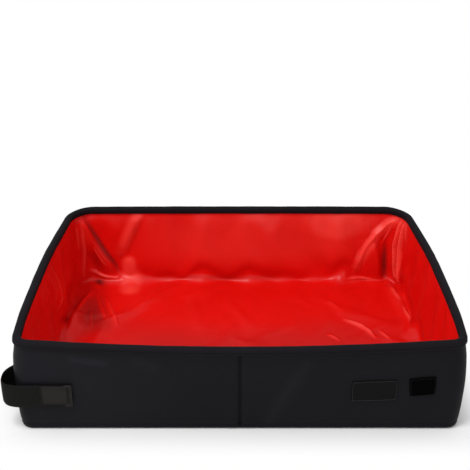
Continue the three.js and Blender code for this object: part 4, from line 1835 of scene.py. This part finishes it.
class TRAY_OT_stitches(LitterOperator, Operator):
    """Sews the rows of stitches on the binding, the handle and the patches"""

    bl_idname = "tray.stitches"
    bl_label = "Stitches"

    def execute(self, context):
        sizes = self.sizes(context)
        run = stitch_tree(thread_material("Thread", THREAD_COLOUR))
        pale_run = stitch_tree(thread_material("Label thread", LABEL_THREAD_COLOUR))
        for label, depth, height in RIM_ROWS:
            for region, parts in rim_runs(depth, height).items():
                lines = [lean(line, sizes) for line in joined(parts)]
                piece = sew(f"stitches_{label}_{region}", lines, run)
                hang(piece, region, TAPE_LEVEL)
        lines = [lean(line, sizes) for line in handle_seams()]
        piece = sew("stitches_handle", lines, run, **HANDLE_STITCH)
        sewn_to_front(piece, "left")
        for node, slot, inset, tree in (
            ("hook_loop_pad", "hook_pile", PAD_INSET, run),
            ("bare_label", "label_cloth", LABEL_INSET, pale_run),
        ):
            line = lean(frame_line(node, inset), sizes)
            piece = sew(f"stitches_{node}", [line], tree, **PATCH_STITCH)
            sewn_to_front(piece, "right")
        return {"FINISHED"}


def rim_runs(depth, height):
    """Short steps of a line round the rim, by the part of the frame that each follows."""
    places, _ = ring(depth, *COVER_STEPS)
    points = np.column_stack([places, np.full(len(places), height)])
    points = np.concatenate([points, points[:1]])
    runs = {}
    for a, b in zip(points[:-1], points[1:], strict=True):
        runs.setdefault(region_of(*((a + b) / 2), COVER_HEEL), []).append((a, b))
    return dict(sorted(runs.items()))


def handle_seams():
    """The box round the handle's doubled end and the double zigzag that closes it."""
    low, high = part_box("webbing_handle")
    strap = handle_line()[0][1] - WEBBING_PLY / 2 - THREAD_PROUD
    doubled = strap - WEBBING_PLY
    left, right = (reach - HALF_LENGTH for reach in HANDLE_TAB)
    end = HANDLE_END - HALF_LENGTH
    bottom, top = low.z + HANDLE_LIFT, high.z + HANDLE_LIFT
    under, over = bottom + TAB_RISE + LONG_INSET, top - TAB_RISE / 3 - LONG_INSET
    left, seam = left + SHORT_INSET, right - SHORT_INSET
    box = [(seam, under), (left, under), (left, over), (seam, over)]
    lines = [np.array([(x, doubled, z) for x, z in box])]
    periods = 5
    for swing in (0, 1):
        zigzag = []
        for n in range(2 * periods + 1):
            x = right + PAST_TAB if (n + swing) % 2 else end - PAST_END
            rise = (top - bottom - 2 * ZIGZAG_INSET) * n / (2 * periods)
            zigzag.append((x, strap, bottom + ZIGZAG_INSET + rise))
        lines.append(np.array(zigzag))
    return lines


def joined(parts):
    """Short steps joined end to end into lines."""
    lines = [[parts[0][0], parts[0][1]]]
    for a, b in parts[1:]:
        if np.allclose(lines[-1][-1], a, atol=1e-9):
            lines[-1].append(b)
        else:
            lines.append([a, b])
    if len(lines) > 1 and np.allclose(lines[-1][-1], lines[0][0], atol=1e-9):
        lines[0] = lines.pop() + lines[0][1:]
    return [np.array(line) for line in lines]


# The photograph's camera, fitted to the tray's rim and lower corners
SENSOR = 36.0
PICTURE_PIXELS = 470
FOCAL_PIXELS = 931.0
CAMERA_PLACE = (-0.0044, -0.854, 0.532)
CAMERA_PITCH = 25.1

# Light: an even room and two soft lamps, the stronger one from the upper left, each with its place, size,
# power and aim
WORLD_LIGHT = 0.66
LAMPS = (
    ("key", (-0.6, -0.55, 1.5), 0.6, 15.5, (0.05, 0, 0.03)),
    ("fill", (0.2, -1.5, 0.8), 0.8, 3.0, (0, 0, 0.03)),
)

# Half the ground's width, how much it glows near the tray, and over what distance that grows to white
GROUND_REACH = 6.0
GROUND_GLOW = 0.0
GLOW_NEAR, GLOW_FAR = 0.0, 0.045


def ground_material(colour):
    """Matt ground that takes the tray's shadow and turns to plain white away from it."""
    material, tree, shader = new_material("Ground")
    set_inputs(shader, {"Base Color": (*colour, 1), "Roughness": 0.9, "Specular IOR Level": 0.1})
    glow = add(tree, "ShaderNodeEmission")
    mix = add(tree, "ShaderNodeMixShader")
    parts = add(tree, "ShaderNodeSeparateXYZ")
    connect(tree, (add(tree, "ShaderNodeTexCoord"), "Object", parts, "Vector"))
    beside = maths(tree, "SUBTRACT", maths(tree, "ABSOLUTE", parts.outputs["X"], 0.0), HALF_LENGTH)
    before = maths(tree, "SUBTRACT", maths(tree, "ABSOLUTE", parts.outputs["Y"], 0.0), HALF_DEPTH)
    fade = add(tree, "ShaderNodeMapRange", interpolation_type="SMOOTHSTEP")
    set_inputs(fade, {"From Min": GLOW_NEAR, "From Max": GLOW_FAR, "To Min": GROUND_GLOW})
    tree.links.new(maths(tree, "MAXIMUM", beside, before), fade.inputs["Value"])
    direct = add(tree, "ShaderNodeLightPath").outputs["Is Camera Ray"]
    seen = maths(tree, "MULTIPLY", direct, fade.outputs["Result"])
    tree.links.new(seen, mix.inputs["Fac"])
    connect(
        tree,
        (shader, "BSDF", mix, 1),
        (glow, "Emission", mix, 2),
        (mix, "Shader", tree.nodes["Material Output"], "Surface"),
    )
    return material


def studio_world():
    """White surroundings that light the tray with a part of the brightness that the camera sees."""
    world = bpy.data.worlds.new("Studio")
    world.use_nodes = True
    tree = world.node_tree
    sky = tree.nodes["Background"]
    direct = add(tree, "ShaderNodeLightPath").outputs["Is Camera Ray"]
    lit = maths(tree, "MULTIPLY", direct, 1 - WORLD_LIGHT)
    tree.links.new(maths(tree, "ADD", lit, WORLD_LIGHT), sky.inputs["Strength"])
    set_inputs(sky, {"Color": (1, 1, 1, 1)})
    return world


class TRAY_OT_stage(LitterOperator, Operator):
    """Sets the pale ground, the lamps and the camera"""

    bl_idname = "tray.stage"
    bl_label = "Stage"

    def execute(self, context):
        scene = context.scene
        ground = bpy.data.meshes.new("ground")
        signs = ((-1, -1), (1, -1), (1, 1), (-1, 1))
        corners = [(x * GROUND_REACH, y * GROUND_REACH, 0) for x, y in signs]
        ground.from_pydata(corners, [], [(0, 1, 2, 3)])
        ground.materials.append(ground_material(self.colours(context).ground))
        show(ground, "ground")
        scene.world = studio_world()
        for name, place, size, power, aim in LAMPS:
            lamp = bpy.data.lights.new(name, "AREA")
            lamp.energy, lamp.size = power, size
            light = bpy.data.objects.new(name, lamp)
            scene.collection.objects.link(light)
            light.location = place
            light.rotation_euler = (Vector(aim) - Vector(place)).to_track_quat("-Z", "Y").to_euler()
        lens = bpy.data.cameras.new("Camera")
        lens.sensor_width, lens.lens = SENSOR, SENSOR * FOCAL_PIXELS / PICTURE_PIXELS
        camera = bpy.data.objects.new("Camera", lens)
        scene.collection.objects.link(camera)
        camera.location = CAMERA_PLACE
        camera.rotation_euler = (math.radians(90 - CAMERA_PITCH), 0, 0)
        scene.camera = camera
        scene.view_settings.view_transform = "Standard"
        return {"FINISHED"}


class TRAY_PT_panel(Panel):
    """The tray's pieces, in the 3D view's sidebar"""

    bl_label = "Litter box"
    bl_idname = "TRAY_PT_panel"
    bl_space_type = "VIEW_3D"
    bl_region_type = "UI"
    bl_category = "Litter box"

    def draw(self, context):
        for group in (context.scene.tray_sizes, context.scene.tray_colours):
            box = self.layout.box()
            for label in group.__annotations__:
                box.prop(group, label)
        for operator in OPERATORS:
            self.layout.operator(operator.bl_idname)


OPERATORS = (
    TRAY_OT_cover,
    TRAY_OT_lining,
    TRAY_OT_binding,
    TRAY_OT_boards,
    TRAY_OT_handle,
    TRAY_OT_patches,
    TRAY_OT_stitches,
    TRAY_OT_stage,
)
CLASSES = (TraySizes, TrayColours, *OPERATORS, TRAY_PT_panel)


def register():
    """Registers the add-on's classes and settings."""
    for item in CLASSES:
        bpy.utils.register_class(item)
    bpy.types.Scene.tray_sizes = PointerProperty(type=TraySizes)
    bpy.types.Scene.tray_colours = PointerProperty(type=TrayColours)


def unregister():
    """Takes the add-on's settings and classes away again."""
    del bpy.types.Scene.tray_sizes
    del bpy.types.Scene.tray_colours
    for item in reversed(CLASSES):
        bpy.utils.unregister_class(item)


def main():
    """Builds every piece in order."""
    register()
    bpy.ops.tray.cover()
    bpy.ops.tray.lining()
    bpy.ops.tray.binding()
    bpy.ops.tray.boards()
    bpy.ops.tray.handle()
    bpy.ops.tray.patches()
    bpy.ops.tray.stitches()
    bpy.ops.tray.stage()


if __name__ == "__main__":
    main()
